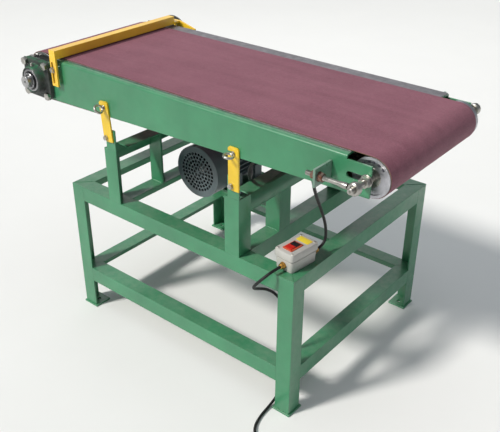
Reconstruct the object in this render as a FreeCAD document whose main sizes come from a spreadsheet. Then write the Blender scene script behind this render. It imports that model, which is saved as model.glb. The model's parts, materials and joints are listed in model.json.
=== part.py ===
"""Stand-mounted belt sanding table: a wide abrasive belt over a steel bed on a welded stand.

Every place below is measured from the outer front left corner of the stand at floor level,
with X along the belt, Y away from the operator and Z up. The finished sub-parts are moved so
that the origin of the machine is the centre of the floor anchor holes.
"""
import FreeCAD
import Part
import Sketcher

import math
import os
import re

from FreeCAD import Rotation, Vector

SIZES = {
    # welded stand of equal angle
    "stand_length": 870, "stand_depth": 710, "stand_height": 460, "stretcher_height": 155,
    "profile": 50, "wall": 5,
    "foot_size": 60, "foot_overhang": 4, "foot_thickness": 6, "anchor_inset": 30, "anchor_radius": 6,
    # two portals that carry the bed
    "portal_left": 175, "portal_right": 638, "portal_height": 633, "mid_upright": 178,
    "rear_post_top": 830, "tab_width": 38, "tab_top": 697,
    # bed: two bent side plates, cross ties and a platen
    "bed_width": 492, "flange_top": 857, "flange_width": 40, "flange_left": -30, "flange_right": 997,
    "plate_left": -133, "plate_right": 1061, "plate_bottom": 730, "plate_rise": 0.0358,
    "tongue_top": 846, "bearing_end_top": 843, "bend_outer": 8, "bend_inner": 3,
    "slot_start": 1006, "slot_height": 16,
    "platen_near": 16, "platen_far": 484, "platen_left": -25, "platen_thickness": 2.5,
    "tie_first": 120, "tie_pitch": 340, "tie_size": 40, "tie_wall": 4,
    "rear_bolt_drop": 20, "rear_bolt_pitch": 30, "shaft_clearance": 6,
    # rollers and the sanding belt
    "drive_x": -90, "drive_z": 787.5, "drive_radius": 72, "drive_near": 19, "drive_width": 435,
    "drive_shaft_radius": 17.5, "shaft_front": -58, "shaft_rear": 590,
    "idler_x": 1052, "idler_z": 811, "idler_radius": 48.5, "idler_near": 16, "idler_width": 440,
    "idler_shaft_radius": 10, "idler_journal": 7.9, "idler_reach": 70, "bearing_outer": 23.5,
    "tube_wall": 7, "end_disc": 10, "end_recess": 6, "idler_recess": 2.5,
    "balance_radius": 38, "balance_drill": 4.8, "balance_depth": 7, "balance_first": 125, "balance_step": 20,
    "centre_drill": 3, "centre_depth": 8,
    "belt_near": 19, "belt_width": 421, "belt_thickness": 1.8, "belt_gap": 0.3,
    # flange bearings
    "housing_size": 117, "housing_flange": 14, "housing_boss": 42, "housing_reach": 38,
    "housing_draft": 3, "housing_bolt_pitch": 92, "housing_bolt": 7, "insert_radius": 34,
    "insert_reach": 44, "insert_seat": 6, "nipple_radius": 5, "nipple_height": 14,
    "nipple_wall": 2,
    # hexagon fasteners: circumradius of a head over the radius of its shank, and heights
    "head_ratio": 1.75, "bolt_head": 9, "bolt_stub": 11, "foot_head": 7, "foot_nut": 8,
    "small_hexagon": 7.5, "small_head": 5.3, "small_nut": 6.5, "small_stub": 8, "small_washer": 8,
    "small_washer_thickness": 1.6, "head_gap": 0.2,
    # belt tensioner
    "bracket_x": 954, "bracket_thickness": 6, "bracket_reach": 66, "bracket_bottom": 788,
    "bracket_top": 833, "rod_offset": 50, "rod_radius": 6, "rod_clearance": 1, "rod_end": 925,
    "eye_radius": 16, "eye_width": 16, "neck_length": 14, "neck_height": 18, "neck_reach": 8,
    "neck_inset": 1, "nut_thickness": 10, "nut_circumradius": 11, "washer": 2, "washer_lip": 1,
    "shaft_nut": 14, "shaft_nut_length": 12, "shaft_nut_reach": 5,
    "collar_radius": 15, "collar_width": 3, "collar_gap": 1, "shoulder_gap": 0.5,
    # fence across the inlet end
    "fence_left": -14, "fence_width": 26, "fence_bottom": 865, "fence_top": 891, "fence_end": 477,
    "fence_wall": 3, "fence_front": -15, "fence_plate": 6, "fence_plate_bottom": 783,
    "fence_slot_x": -5, "fence_slot_width": 8.4, "fence_slot_bottom": 790, "fence_slot_top": 856,
    "fence_bolt_z": 832, "fence_tail_x": 80, "fence_tail_z": 855, "fence_tail_top": 872,
    "fence_neck": 18, "fence_tail_depth": 14, "clamp_spacer": 8, "clamp_washer": 9,
    "clamp_washer_thickness": 2, "clamp_head": 5.5, "clamp_stub": 6,
    # swing straps that hold up the front of the bed
    "strap_left_x": 195, "strap_right_x": 666.5, "strap_z": 671, "strap_left_lean": 5,
    "strap_width": 35, "strap_edge": 9.5, "strap_foot": 12, "strap_rise": 110, "strap_thickness": 5,
    "strap_gap": 0.3, "strap_eye_z": 93, "strap_slot": 9, "strap_corner": 5, "strap_cut": 9,
    "pin_radius": 4, "pin_clearance": 0.05,
    "eye_ring": 12, "eye_wire": 3.5, "eye_collar": 7, "collar_height": 2, "eye_neck": 4, "eye_stub": 8,
    # motor
    "motor_x": 327, "motor_z": 512, "motor_front": 232, "cowl_radius": 84, "cowl_length": 80,
    "cowl_wall": 2, "vent_radius": 4.5, "vent_pitch": 12,
    "frame_radius": 64, "fin_height": 11, "fin_width": 3, "fin_root": 30, "fin_inset": 10,
    "frame_length": 160,
    "shield_length": 18, "shield_drop": 3, "shield_boss": 32, "shield_boss_length": 12,
    "foot_bolt": 5, "foot_bolt_offset": 80, "foot_bolt_first": 36, "foot_bolt_pitch": 100, "foot_thick": 10,
    "foot_width": 40, "foot_length": 34, "foot_offset": 72, "foot_web": 16, "foot_web_offset": 62,
    "foot_web_top": 30, "motor_shaft_radius": 12, "motor_foot": 422,
    "fan_set_back": 24, "fan_hub": 20, "fan_hub_length": 30, "fan_disc": 70, "fan_disc_thickness": 3,
    "blade_thickness": 2.5, "blade_width": 24, "blade_length": 54, "blade_root": 16,
    "shaft_set_back": 20, "shaft_stub": 4, "rotor_gap": 1, "rotor_inset": 30,
    "terminal_width": 84, "terminal_length": 90, "terminal_height": 40, "terminal_set_back": 50,
    "terminal_lip": 4, "terminal_lid": 8, "terminal_gland": 12, "terminal_gland_length": 16,
    "motor_plate_thickness": 8, "motor_plate_arm": 25, "motor_plate_right": 430,
    "motor_plate_front": 325, "motor_plate_rear": 505,
    "stator_bore": 42, "pulley_front": 554, "pulley_width": 22, "motor_pulley_radius": 45,
    "drive_pulley_radius": 70, "pulley_hub_wall": 8, "pulley_hub_reach": 10,
    "groove_depth": 10, "groove_width": 13.6, "v_belt_width": 13, "v_belt_height": 8,
    # push-button box
    "box_x": 820, "box_y": 77, "box_turn": -6.5, "box_width": 66, "box_length": 104, "case_inset": 3,
    "box_seam": 37, "box_height": 58, "box_wall": 3, "button_width": 22, "button_length": 16,
    "button_rise": 5, "button_gap": 0.3, "stop_y": -24, "start_y": -5, "button_throw": 4,
    "stem_length": 12, "contact_margin_x": 7, "contact_margin_y": 6,
    "gland_radius": 9, "gland_hexagon": 1.15, "gland_length": 14, "front_gland_x": 1, "front_gland_z": 17,
    "rear_gland_x": 18, "rear_gland_z": 25,
    # leads
    "lead_radius": 4, "clip_length": 10, "clip_wall": 2, "clip_foot": 4,
    "coil_x": 900, "coil_y": -184, "coil_radius": 44, "coil_band": 25, "coil_height": 24.6,
    "plug_offset": 20, "plug_radius": 17, "plug_length": 50, "plug_relief": 32, "relief_root": 10,
    "relief_tip": 5.5, "relief_rise": 2, "pin_length": 18, "pin_width": 6.4, "pin_thickness": 1.6,
    "line_pin_y": 6, "line_pin_z": 4, "earth_pin_z": 7,
}

doc = FreeCAD.newDocument("BeltSandingTable")
sheet = doc.addObject("Spreadsheet::Sheet", "Sizes")
for row, (alias, value) in enumerate(SIZES.items(), start=1):
    sheet.set(f"A{row}", alias)
    sheet.set(f"B{row}", str(value))
    sheet.setAlias(f"B{row}", alias)
doc.recompute()

NODES = []
FIN_COUNT = 28
VENT_RINGS = 5
FAN_BLADES = 8
BALANCE_DRILLINGS = 5
EYE_ROLLS = {"left": 48, "right": 8}
UP = "Z"
ALONG = "X"
ACROSS = "Y"
TURNS = {
    UP: Rotation(),
    ALONG: Rotation(Vector(0, 1, 0), 90),
    ACROSS: Rotation(Vector(1, 0, 0), -90),
}


def size(alias):
    """Value of a named size from the sheet."""
    return float(sheet.get(alias))


def formula(text):
    """Point every named size in an expression at the sheet."""
    def point(word):
        return f"Sizes.{word.group()}" if word.group() in SIZES else word.group()

    return re.sub(r"[A-Za-z_]+", point, str(text))


def bind(item, **properties):
    for name, text in properties.items():
        item.setExpression(name, formula(text))
    return item


def place(item, at, rotation=None):
    """Bind an object's place to the sheet, after turning it."""
    item.Placement = FreeCAD.Placement(Vector(), rotation or Rotation())
    for axis, text in zip("xyz", at):
        item.setExpression(f"Placement.Base.{axis}", formula(text))
    return item


def box(size_xyz, at):
    length, width, height = size_xyz
    item = doc.addObject("Part::Box", "plate")
    bind(item, Length=length, Width=width, Height=height)
    return place(item, at)


def rod(radius, length, at, axis=ACROSS):
    item = doc.addObject("Part::Cylinder", "round")
    bind(item, Radius=radius, Height=length)
    return place(item, at, TURNS[axis])


def hexagon(circumradius, length, at, axis=ACROSS):
    item = doc.addObject("Part::Prism", "hexagon")
    item.Polygon = 6
    bind(item, Circumradius=circumradius, Height=length)
    return place(item, at, TURNS[axis])


def fuse(*items):
    result = doc.addObject("Part::MultiFuse", "joined")
    result.Shapes = list(items)
    result.Refine = True
    return result


def cut(base, *tools):
    result = doc.addObject("Part::Cut", "cut")
    result.Base = base
    result.Tool = tools[0] if len(tools) == 1 else group(*tools)
    result.Refine = True
    return result


def group(*items):
    """Several separate solids of one sub-part."""
    result = doc.addObject("Part::Compound", "set")
    result.Links = list(items)
    return result


def tube(outer, inner, length, at, axis=ACROSS):
    return cut(rod(outer, length, at, axis), rod(inner, length, at, axis))


def node(label, item, at=(0, 0, 0), rotation=None):
    """Name a finished sub-part and move it from the stand's corner to the machine's origin."""
    item.Label = label
    corner = ("- stand_length / 2", "- stand_depth / 2", "")
    place(item, [f"({part}) {shift}" for part, shift in zip(at, corner)], rotation)
    NODES.append(item)
    return item


def outline_sketch(body, role, points, name="outline"):
    """Closed outline on one of the body's own planes; each corner is bound to the sheet."""
    sketch = body.newObject("Sketcher::SketchObject", name)
    plane = next(item for item in body.Origin.OriginFeatures if item.Role == role)
    sketch.AttachmentSupport = [(plane, "")]
    sketch.MapMode = "FlatFace"
    count = len(points)
    rough = [Vector(math.cos(2 * math.pi * i / count), math.sin(2 * math.pi * i / count), 0) * 100
             for i in range(count)]
    for i in range(count):
        sketch.addGeometry(Part.LineSegment(rough[i], rough[(i + 1) % count]), False)
    for i in range(count):
        sketch.addConstraint(Sketcher.Constraint("Coincident", i, 2, (i + 1) % count, 1))
    for i, (across, up) in enumerate(points):
        for kind, text in (("DistanceX", across), ("DistanceY", up)):
            index = sketch.addConstraint(Sketcher.Constraint(kind, -1, 1, i, 1, 1.0))
            sketch.renameConstraint(index, f"{kind}{i}")
            sketch.setExpression(f"Constraints.{kind}{i}", formula(text))
    return sketch


def pad(body, sketch, length, reverse=False):
    feature = body.newObject("PartDesign::Pad", "pad")
    feature.Profile = sketch
    feature.Reversed = reverse
    bind(feature, Length=length)
    sketch.Visibility = False
    return feature


def sheet_metal(role, points, thickness, reverse=False):
    """Flat piece of even thickness cut to an outline."""
    body = doc.addObject("PartDesign::Body", "flat")
    pad(body, outline_sketch(body, role, points), thickness, reverse)
    return body


def nearest_edge(shape, point, direction):
    """Name of the straight edge along a direction whose line runs closest to a point."""
    best = None
    for index, edge in enumerate(shape.Edges, start=1):
        if abs(abs(edge.tangentAt(edge.FirstParameter).dot(direction)) - 1) > 1e-6:
            continue
        gap = edge.CenterOfMass - point
        gap -= direction * gap.dot(direction)
        if best is None or gap.Length < best[0]:
            best = (gap.Length, f"Edge{index}")
    return best[1]


def loop_shape(first, first_radius, second, second_radius, thickness, front, width):
    """Endless belt round two rollers, with straight runs along their common tangents."""
    def hull(extra):
        radius_a = first_radius + extra
        radius_b = second_radius + extra
        line = second - first
        lean = math.atan2(line.z, line.x)
        spread = math.acos((radius_a - radius_b) / line.Length)

        def rim(centre, radius, angle):
            return centre + Vector(math.cos(angle), 0, math.sin(angle)) * radius

        top_a, top_b = (rim(c, r, lean + spread) for c, r in ((first, radius_a), (second, radius_b)))
        low_a, low_b = (rim(c, r, lean - spread) for c, r in ((first, radius_a), (second, radius_b)))
        edges = [
            Part.LineSegment(top_a, top_b).toShape(),
            Part.Arc(top_b, rim(second, radius_b, lean), low_b).toShape(),
            Part.LineSegment(low_b, low_a).toShape(),
            Part.Arc(low_a, rim(first, radius_a, lean + math.pi), top_a).toShape(),
        ]
        face = Part.Face(Part.Wire(edges))
        face.translate(Vector(0, front, 0))
        return face.extrude(Vector(0, width, 0))

    return hull(thickness).cut(hull(0))


def free_shape(shape):
    item = doc.addObject("Part::Feature", "shape")
    item.Shape = shape
    return item


# ---------------------------------------------------------------- stand
ends = {"left": "0", "right": "stand_length - profile"}
sides = {"front": "0", "rear": "stand_depth - profile"}


def legs():
    solids = []
    for end, x_near in ends.items():
        for side, y_near in sides.items():
            face_y = y_near if side == "front" else "stand_depth - wall"
            side_x = x_near if end == "left" else "stand_length - wall"
            side_y = "wall" if side == "front" else "stand_depth - profile"
            height = "stand_height - wall - foot_thickness"
            solids.append(fuse(
                box(("profile", "wall", height), (x_near, face_y, "foot_thickness")),
                box(("wall", "profile - wall", height), (side_x, side_y, "foot_thickness"))))
    return group(*solids)


def foot_plates():
    plates = []
    for end in ends:
        for side in sides:
            x_near = "- foot_overhang" if end == "left" else "stand_length + foot_overhang - foot_size"
            y_near = "- foot_overhang" if side == "front" else "stand_depth + foot_overhang - foot_size"
            hole_x = "anchor_inset" if end == "left" else "stand_length - anchor_inset"
            hole_y = "anchor_inset" if side == "front" else "stand_depth - anchor_inset"
            plates.append(cut(box(("foot_size", "foot_size", "foot_thickness"), (x_near, y_near, 0)),
                              rod("anchor_radius", "foot_thickness", (hole_x, hole_y, 0), UP)))
    return group(*plates)


def rail(length, top, within_legs):
    """Angle rail along X: flat leg on top with mitred corners, upright leg flush with the outside."""
    if within_legs:
        corners = [("profile", 0), (f"{length} - profile", 0), (f"{length} - profile", "wall"),
                   (f"{length} - wall", "wall"), (f"{length} - profile", "profile"),
                   ("profile", "profile"), ("wall", "wall"), ("profile", "wall")]
    else:
        corners = [(0, 0), (length, 0), (f"{length} - profile", "profile"), ("profile", "profile")]
    flat = place(sheet_metal("XY_Plane", corners, "wall"), (0, 0, f"{top} - wall"))
    upright = box((f"{length} - 2 * profile", "wall", "profile - wall"), ("profile", 0, f"{top} - profile"))
    return fuse(flat, upright)


def stand():
    node("legs", legs())
    node("foot_plates", foot_plates())
    quarter_turns = {
        "front": (0, "0", "0", "stand_length"),
        "right": (90, "stand_length", "0", "stand_depth"),
        "rear": (180, "stand_length", "stand_depth", "stand_length"),
        "left": (270, "0", "stand_depth", "stand_depth"),
    }
    for place_name, (turn, x, y, length) in quarter_turns.items():
        rotation = Rotation(Vector(0, 0, 1), turn)
        node(f"top_rail_{place_name}", rail(length, "stand_height", False), (x, y, 0), rotation)
        node(f"stretcher_{place_name}", rail(length, "stretcher_height", True), (x, y, 0), rotation)


def portal(x_near, web_on_left):
    """Sill, two posts, mid upright and crossbar of angle, with the tab that the strap swings on."""
    web_x = x_near if web_on_left else f"{x_near} + profile - wall"
    inner_x = f"{x_near} + wall" if web_on_left else x_near
    inner_width = "profile - wall"
    span = "stand_depth - 2 * profile"
    rise = "portal_height - stand_height"
    sill = fuse(
        box(("profile", span, "wall"), (x_near, "profile", "stand_height - wall")),
        box(("wall", span, "profile - wall"), (web_x, "profile", "stand_height - profile")))
    front_post = fuse(
        box(("profile", "wall", rise), (x_near, 0, "stand_height")),
        box(("wall", "profile - wall", rise), (web_x, "wall", "stand_height")))
    tab = cut(
        box(("tab_width", "wall", "tab_top - portal_height"),
            (f"{x_near} + profile - tab_width", 0, "portal_height")),
        rod("pin_radius", "wall", (pivot_x(web_on_left), 0, "strap_z")))
    upright = fuse(
        box((inner_width, "wall", f"{rise} - wall"), (inner_x, "mid_upright", "stand_height")),
        box(("wall", "profile", f"{rise} - profile"), (web_x, "mid_upright", "stand_height")))
    crossbar = fuse(
        box(("profile", "bed_width - profile", "wall"), (x_near, "profile", "portal_height - wall")),
        box(("wall", "bed_width - profile", "profile - wall"), (web_x, "profile", "portal_height - profile")))
    rear_post = fuse(
        box(("profile", "wall", "rear_post_top - stand_height"), (x_near, "bed_width", "stand_height")),
        box(("wall", "profile - wall", "rear_post_top - stand_height"),
            (web_x, "bed_width + wall", "stand_height")))
    holes = [rod("housing_bolt", "wall", (f"{x_near} + profile / 2", "bed_width", height))
             for height in REAR_BOLT_HEIGHTS]
    return group(sill, front_post, tab, upright, crossbar, cut(rear_post, *holes))


REAR_BOLT_HEIGHTS = ("rear_post_top - rear_bolt_drop", "rear_post_top - rear_bolt_drop - rear_bolt_pitch")


def pivot_x(left):
    return "strap_left_x" if left else "strap_right_x"


# ---------------------------------------------------------------- bed
def side_plate(rear):
    """Bent plate: tapered web with a slotted tongue, and a flange that carries the platen."""
    def bottom(x):
        return f"plate_bottom + plate_rise * ({x})"

    body = doc.addObject("PartDesign::Body", "side")
    web = outline_sketch(body, "XZ_Plane", [
        ("plate_left", bottom("plate_left")), ("plate_right", bottom("plate_right")),
        ("plate_right", "tongue_top"), ("flange_right", "tongue_top"), ("flange_right", "flange_top"),
        ("flange_left", "flange_top"), ("flange_left", "bearing_end_top"), ("plate_left", "bearing_end_top")])
    pad(body, web, "wall", reverse=not rear)
    lip = outline_sketch(body, "XZ_Plane", [
        ("flange_left", "flange_top - wall"), ("flange_right", "flange_top - wall"),
        ("flange_right", "flange_top"), ("flange_left", "flange_top")], "lip")
    pad(body, lip, "flange_width", reverse=not rear)
    doc.recompute()
    inward = -1 if rear else 1
    bends = (("bend_outer", Vector(0, 0, size("flange_top"))),
             ("bend_inner", Vector(0, inward * size("wall"), size("flange_top") - size("wall"))))
    for radius, corner in bends:
        edge = nearest_edge(body.Shape, corner, Vector(1, 0, 0))
        last = body.Tip
        bend = body.newObject("PartDesign::Fillet", "bend")
        bend.Base = (last, [edge])
        bind(bend, Radius=radius)
        doc.recompute()
    front = "- wall" if rear else "0"
    cutters = [
        box(("plate_right - slot_start + 1", "wall", "slot_height"),
            ("slot_start", front, "idler_z - slot_height / 2")),
        rod("slot_height / 2", "wall", ("slot_start", front, "idler_z")),
        rod("drive_shaft_radius + shaft_clearance", "wall", ("drive_x", front, "drive_z")),
        rod("pin_radius", "wall", ("fence_slot_x", front, "fence_bolt_z")),
    ]
    for step_x in (-1, 1):
        for step_z in (-1, 1):
            cutters.append(rod("housing_bolt", "wall", (
                f"drive_x + {step_x} * housing_bolt_pitch / 2", front,
                f"drive_z + {step_z} * housing_bolt_pitch / 2")))
    if rear:
        for x_near in ("portal_left", "portal_right"):
            for height in REAR_BOLT_HEIGHTS:
                cutters.append(rod("housing_bolt", "wall", (f"{x_near} + profile / 2", front, height)))
    else:
        for left in (True, False):
            x, z = strap_eye(left)
            cutters.append(rod("pin_radius + pin_clearance", "wall", (x, front, z)))
    return cut(body, *cutters)


def strap_eye(left):
    """Place of the eye bolt that clamps a strap, over its lower pivot."""
    lean = "strap_left_lean" if left else "0"
    across = "(strap_width / 2 - strap_edge)"
    x = f"{pivot_x(left)} + {across} * cos({lean} * 1deg) - strap_eye_z * sin({lean} * 1deg)"
    z = f"strap_z + {across} * sin({lean} * 1deg) + strap_eye_z * cos({lean} * 1deg)"
    return x, z


def bed_ties():
    """Square tubes that hold the side plates apart, under the platen."""
    ties = []
    for step in range(3):
        x = f"tie_first + {step} * tie_pitch"
        length = "bed_width - 2 * wall"
        z = "flange_top - wall - bend_inner - tie_size"
        ties.append(cut(
            box(("tie_size", length, "tie_size"), (x, "wall", z)),
            box(("tie_size - 2 * tie_wall", length, "tie_size - 2 * tie_wall"),
                (f"{x} + tie_wall", "wall", f"{z} + tie_wall"))))
    return group(*ties)


def roller(x, z, radius, near, width, bore, recess):
    """Steel tube closed by two end discs, the discs set in by a recess."""
    shell = cut(rod(radius, width, (x, near, z)), rod(f"{radius} - tube_wall", width, (x, near, z)))
    discs = [rod(f"{radius} - tube_wall", "end_disc", (x, f"{near} + {offset}", z))
             for offset in (recess, f"{width} - end_disc - {recess}")]
    return cut(fuse(shell, *discs), rod(bore, width, (x, near, z)))


def bed():
    node("side_plate_front", side_plate(False))
    node("side_plate_rear", side_plate(True), (0, "bed_width", 0))
    node("bed_ties", bed_ties())
    platen_size = ("flange_right - platen_left", "platen_far - platen_near", "platen_thickness")
    node("platen", group(box(platen_size, ("platen_left", "platen_near", "flange_top"))))
    belt = loop_shape(Vector(size("drive_x"), 0, size("drive_z")), size("drive_radius") + size("belt_gap"),
                      Vector(size("idler_x"), 0, size("idler_z")), size("idler_radius") + size("belt_gap"),
                      size("belt_thickness"), size("belt_near"), size("belt_width"))
    node("sanding_belt", free_shape(belt))


# ---------------------------------------------------------------- drive end
def bearing_housing():
    """Square four-bolt flange with a round boss; its back is at Y = 0 and it faces -Y."""
    flange = box(("housing_size", "housing_flange", "housing_size"),
                 ("- housing_size / 2", "- housing_flange", "- housing_size / 2"))
    boss = doc.addObject("Part::Cone", "boss")
    bind(boss, Radius1="housing_boss + housing_draft", Radius2="housing_boss - housing_draft",
         Height="housing_reach - housing_flange")
    place(boss, (0, "- housing_flange", 0), Rotation(Vector(1, 0, 0), 90))
    nipple = rod("nipple_radius", "nipple_height",
                 (0, "- housing_flange - nipple_height", "insert_radius + nipple_wall"), UP)
    holes = [rod("housing_bolt", "housing_flange", (
        f"{step_x} * housing_bolt_pitch / 2", "- housing_flange", f"{step_z} * housing_bolt_pitch / 2"))
        for step_x in (-1, 1) for step_z in (-1, 1)]
    bore = rod("insert_radius", "housing_reach", (0, "- housing_reach", 0))
    return cut(fuse(flange, boss, nipple), bore, *holes)


def hex_bolt(x, z, head_side, shank, radius, head, grip_from):
    """Bolt along Y: head on the head_side of grip_from, nut face left to the caller."""
    head_y = f"{grip_from} - {head}" if head_side < 0 else grip_from
    shank_y = grip_from if head_side < 0 else f"{grip_from} - ({shank})"
    return fuse(hexagon(f"{radius} * head_ratio", head, (x, head_y, z)), rod(radius, shank, (x, shank_y, z)))


def frame_bolts():
    bolts = []
    for step_x in (-1, 1):
        for step_z in (-1, 1):
            x = f"drive_x + {step_x} * housing_bolt_pitch / 2"
            z = f"drive_z + {step_z} * housing_bolt_pitch / 2"
            grip = "housing_flange + wall"
            bolts.append(fuse(
                hex_bolt(x, z, -1, f"{grip} + bolt_stub", "housing_bolt", "bolt_head", "- housing_flange"),
                hexagon("housing_bolt * head_ratio", "bolt_head", (x, "wall", z))))
            bolts.append(fuse(
                hex_bolt(x, z, 1, f"{grip} + bolt_stub", "housing_bolt", "bolt_head",
                         "bed_width + housing_flange"),
                hexagon("housing_bolt * head_ratio", "bolt_head", (x, "bed_width - wall - bolt_head", z))))
    for x_near in ("portal_left", "portal_right"):
        for z in REAR_BOLT_HEIGHTS:
            x = f"{x_near} + profile / 2"
            bolts.append(fuse(
                hex_bolt(x, z, 1, "2 * wall + bolt_stub", "housing_bolt", "bolt_head", "bed_width + wall"),
                hexagon("housing_bolt * head_ratio", "bolt_head", (x, "bed_width - wall - bolt_head", z))))
    for side in (-1, 1):
        for y in FOOT_BOLT_ROWS:
            x = f"motor_x + {side} * foot_bolt_offset"
            below = "motor_foot - motor_plate_thickness - foot_nut"
            bolts.append(fuse(
                hexagon("foot_bolt * head_ratio", "foot_head", (x, y, "motor_foot + foot_thick"), UP),
                rod("foot_bolt", "motor_plate_thickness + foot_nut + foot_thick", (x, y, below), UP),
                hexagon("foot_bolt * head_ratio", "foot_nut", (x, y, below), UP)))
    return group(*bolts)


def pulley(x, z, radius, bore):
    core = "groove_width"
    flange = "(pulley_width - groove_width) / 2"
    return cut(
        fuse(rod(radius, flange, (x, "pulley_front", z)),
             rod(f"{radius} - groove_depth", core, (x, f"pulley_front + {flange}", z)),
             rod(radius, flange, (x, f"pulley_front + pulley_width - {flange}", z)),
             rod(f"{bore} + pulley_hub_wall", "pulley_width + pulley_hub_reach", (x, "pulley_front", z))),
        rod(bore, "pulley_width + pulley_hub_reach", (x, "pulley_front", z)))


def drive():
    node("bearing_housing_front", bearing_housing(), ("drive_x", 0, "drive_z"))
    node("bearing_housing_rear", bearing_housing(), ("drive_x", "bed_width", "drive_z"),
         Rotation(Vector(0, 0, 1), 180))
    insert_length = "insert_reach - insert_seat"
    node("bearing_inserts", group(*[
        tube("insert_radius", "drive_shaft_radius + pin_clearance", insert_length, ("drive_x", y, "drive_z"))
        for y in ("- insert_reach", "bed_width + insert_seat")]))
    node("frame_bolts", frame_bolts())
    node("drive_drum", roller("drive_x", "drive_z", "drive_radius", "drive_near", "drive_width",
                              "drive_shaft_radius", "end_recess"))
    node("drive_shaft", cut(
        rod("drive_shaft_radius", "shaft_rear - shaft_front", ("drive_x", "shaft_front", "drive_z")),
        rod("centre_drill", "centre_depth", ("drive_x", "shaft_front", "drive_z"))))
    node("drive_pulley", pulley("drive_x", "drive_z", "drive_pulley_radius", "drive_shaft_radius"))
    inset = size("groove_depth") - size("belt_gap")
    belt = loop_shape(Vector(size("drive_x"), 0, size("drive_z")), size("drive_pulley_radius") - inset,
                      Vector(size("motor_x"), 0, size("motor_z")), size("motor_pulley_radius") - inset,
                      size("v_belt_height"),
                      size("pulley_front") + (size("pulley_width") - size("v_belt_width")) / 2,
                      size("v_belt_width"))
    node("v_belt", free_shape(belt))


# ---------------------------------------------------------------- motor
def motor_frame():
    """Finned cylinder on two feet; the stator fills it and leaves a bore for the rotor."""
    front = "motor_front + cowl_length"
    barrel = rod("frame_radius", "frame_length", ("motor_x", front, "motor_z"))
    fins = []
    for step in range(FIN_COUNT):
        turn = 360 / FIN_COUNT * step
        fin = doc.addObject("Part::Box", "fin")
        bind(fin, Length="fin_width", Width="frame_length - 2 * fin_inset",
             Height="frame_radius + fin_height - fin_root")
        fin.Placement = FreeCAD.Placement(Vector(), Rotation(Vector(0, 1, 0), turn))
        lean = f"{turn} * 1deg"
        bind(fin, **{"Placement.Base.x": f"motor_x - fin_width / 2 * cos({lean}) + fin_root * sin({lean})",
                     "Placement.Base.y": f"{front} + fin_inset",
                     "Placement.Base.z": f"motor_z + fin_width / 2 * sin({lean}) + fin_root * cos({lean})"})
        fins.append(fin)
    feet = []
    for side in (-1, 1):
        for y in FOOT_BOLT_ROWS:
            near = f"{y} - foot_length / 2"
            feet.append(box(("foot_web", "foot_length", "motor_z - motor_foot - foot_web_top"),
                            (f"motor_x + {side} * foot_web_offset - foot_web / 2", near, "motor_foot")))
            feet.append(box(("foot_width", "foot_length", "foot_thick"),
                            (f"motor_x + {side} * foot_offset - foot_width / 2", near, "motor_foot")))
    return cut(fuse(barrel, *fins, *feet),
               rod("stator_bore", "frame_length", ("motor_x", front, "motor_z")), *foot_bolt_holes())


FOOT_BOLT_ROWS = ("motor_front + cowl_length + foot_bolt_first",
                  "motor_front + cowl_length + foot_bolt_first + foot_bolt_pitch")


def foot_bolt_holes():
    return [rod("foot_bolt", "motor_plate_thickness + foot_thick",
                (f"motor_x + {side} * foot_bolt_offset", y, "motor_foot - motor_plate_thickness"), UP)
            for side in (-1, 1) for y in FOOT_BOLT_ROWS]


def fan_cowl():
    """Sheet cup over the fan with rings of round air holes in its face."""
    shell = cut(rod("cowl_radius", "cowl_length", ("motor_x", "motor_front", "motor_z")),
                rod("cowl_radius - cowl_wall", "cowl_length",
                    ("motor_x", "motor_front + cowl_wall", "motor_z")))
    holes = []
    for ring in range(1, VENT_RINGS + 1):
        count = 6 * ring
        for step in range(count):
            turn = f"{360 / count * step} * 1deg"
            holes.append(rod("vent_radius", "cowl_wall", (
                f"motor_x + {ring} * vent_pitch * cos({turn})", "motor_front",
                f"motor_z + {ring} * vent_pitch * sin({turn})")))
    return cut(shell, *holes)


def cooling_fan():
    fan_y = "motor_front + fan_set_back"
    blades = []
    for step in range(FAN_BLADES):
        turn = 360 / FAN_BLADES * step
        blade = doc.addObject("Part::Box", "blade")
        bind(blade, Length="blade_thickness", Width="blade_width", Height="blade_length")
        blade.Placement = FreeCAD.Placement(Vector(), Rotation(Vector(0, 1, 0), turn))
        lean = f"{turn} * 1deg"
        bind(blade, **{"Placement.Base.x": f"motor_x + blade_root * sin({lean})",
                       "Placement.Base.y": fan_y,
                       "Placement.Base.z": f"motor_z + blade_root * cos({lean})"})
        blades.append(blade)
    hub = rod("fan_hub", "fan_hub_length", ("motor_x", fan_y, "motor_z"))
    back = rod("fan_disc", "fan_disc_thickness", ("motor_x", f"{fan_y} + blade_width", "motor_z"))
    return cut(fuse(hub, back, *blades),
               rod("motor_shaft_radius", "fan_hub_length", ("motor_x", fan_y, "motor_z")))


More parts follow.
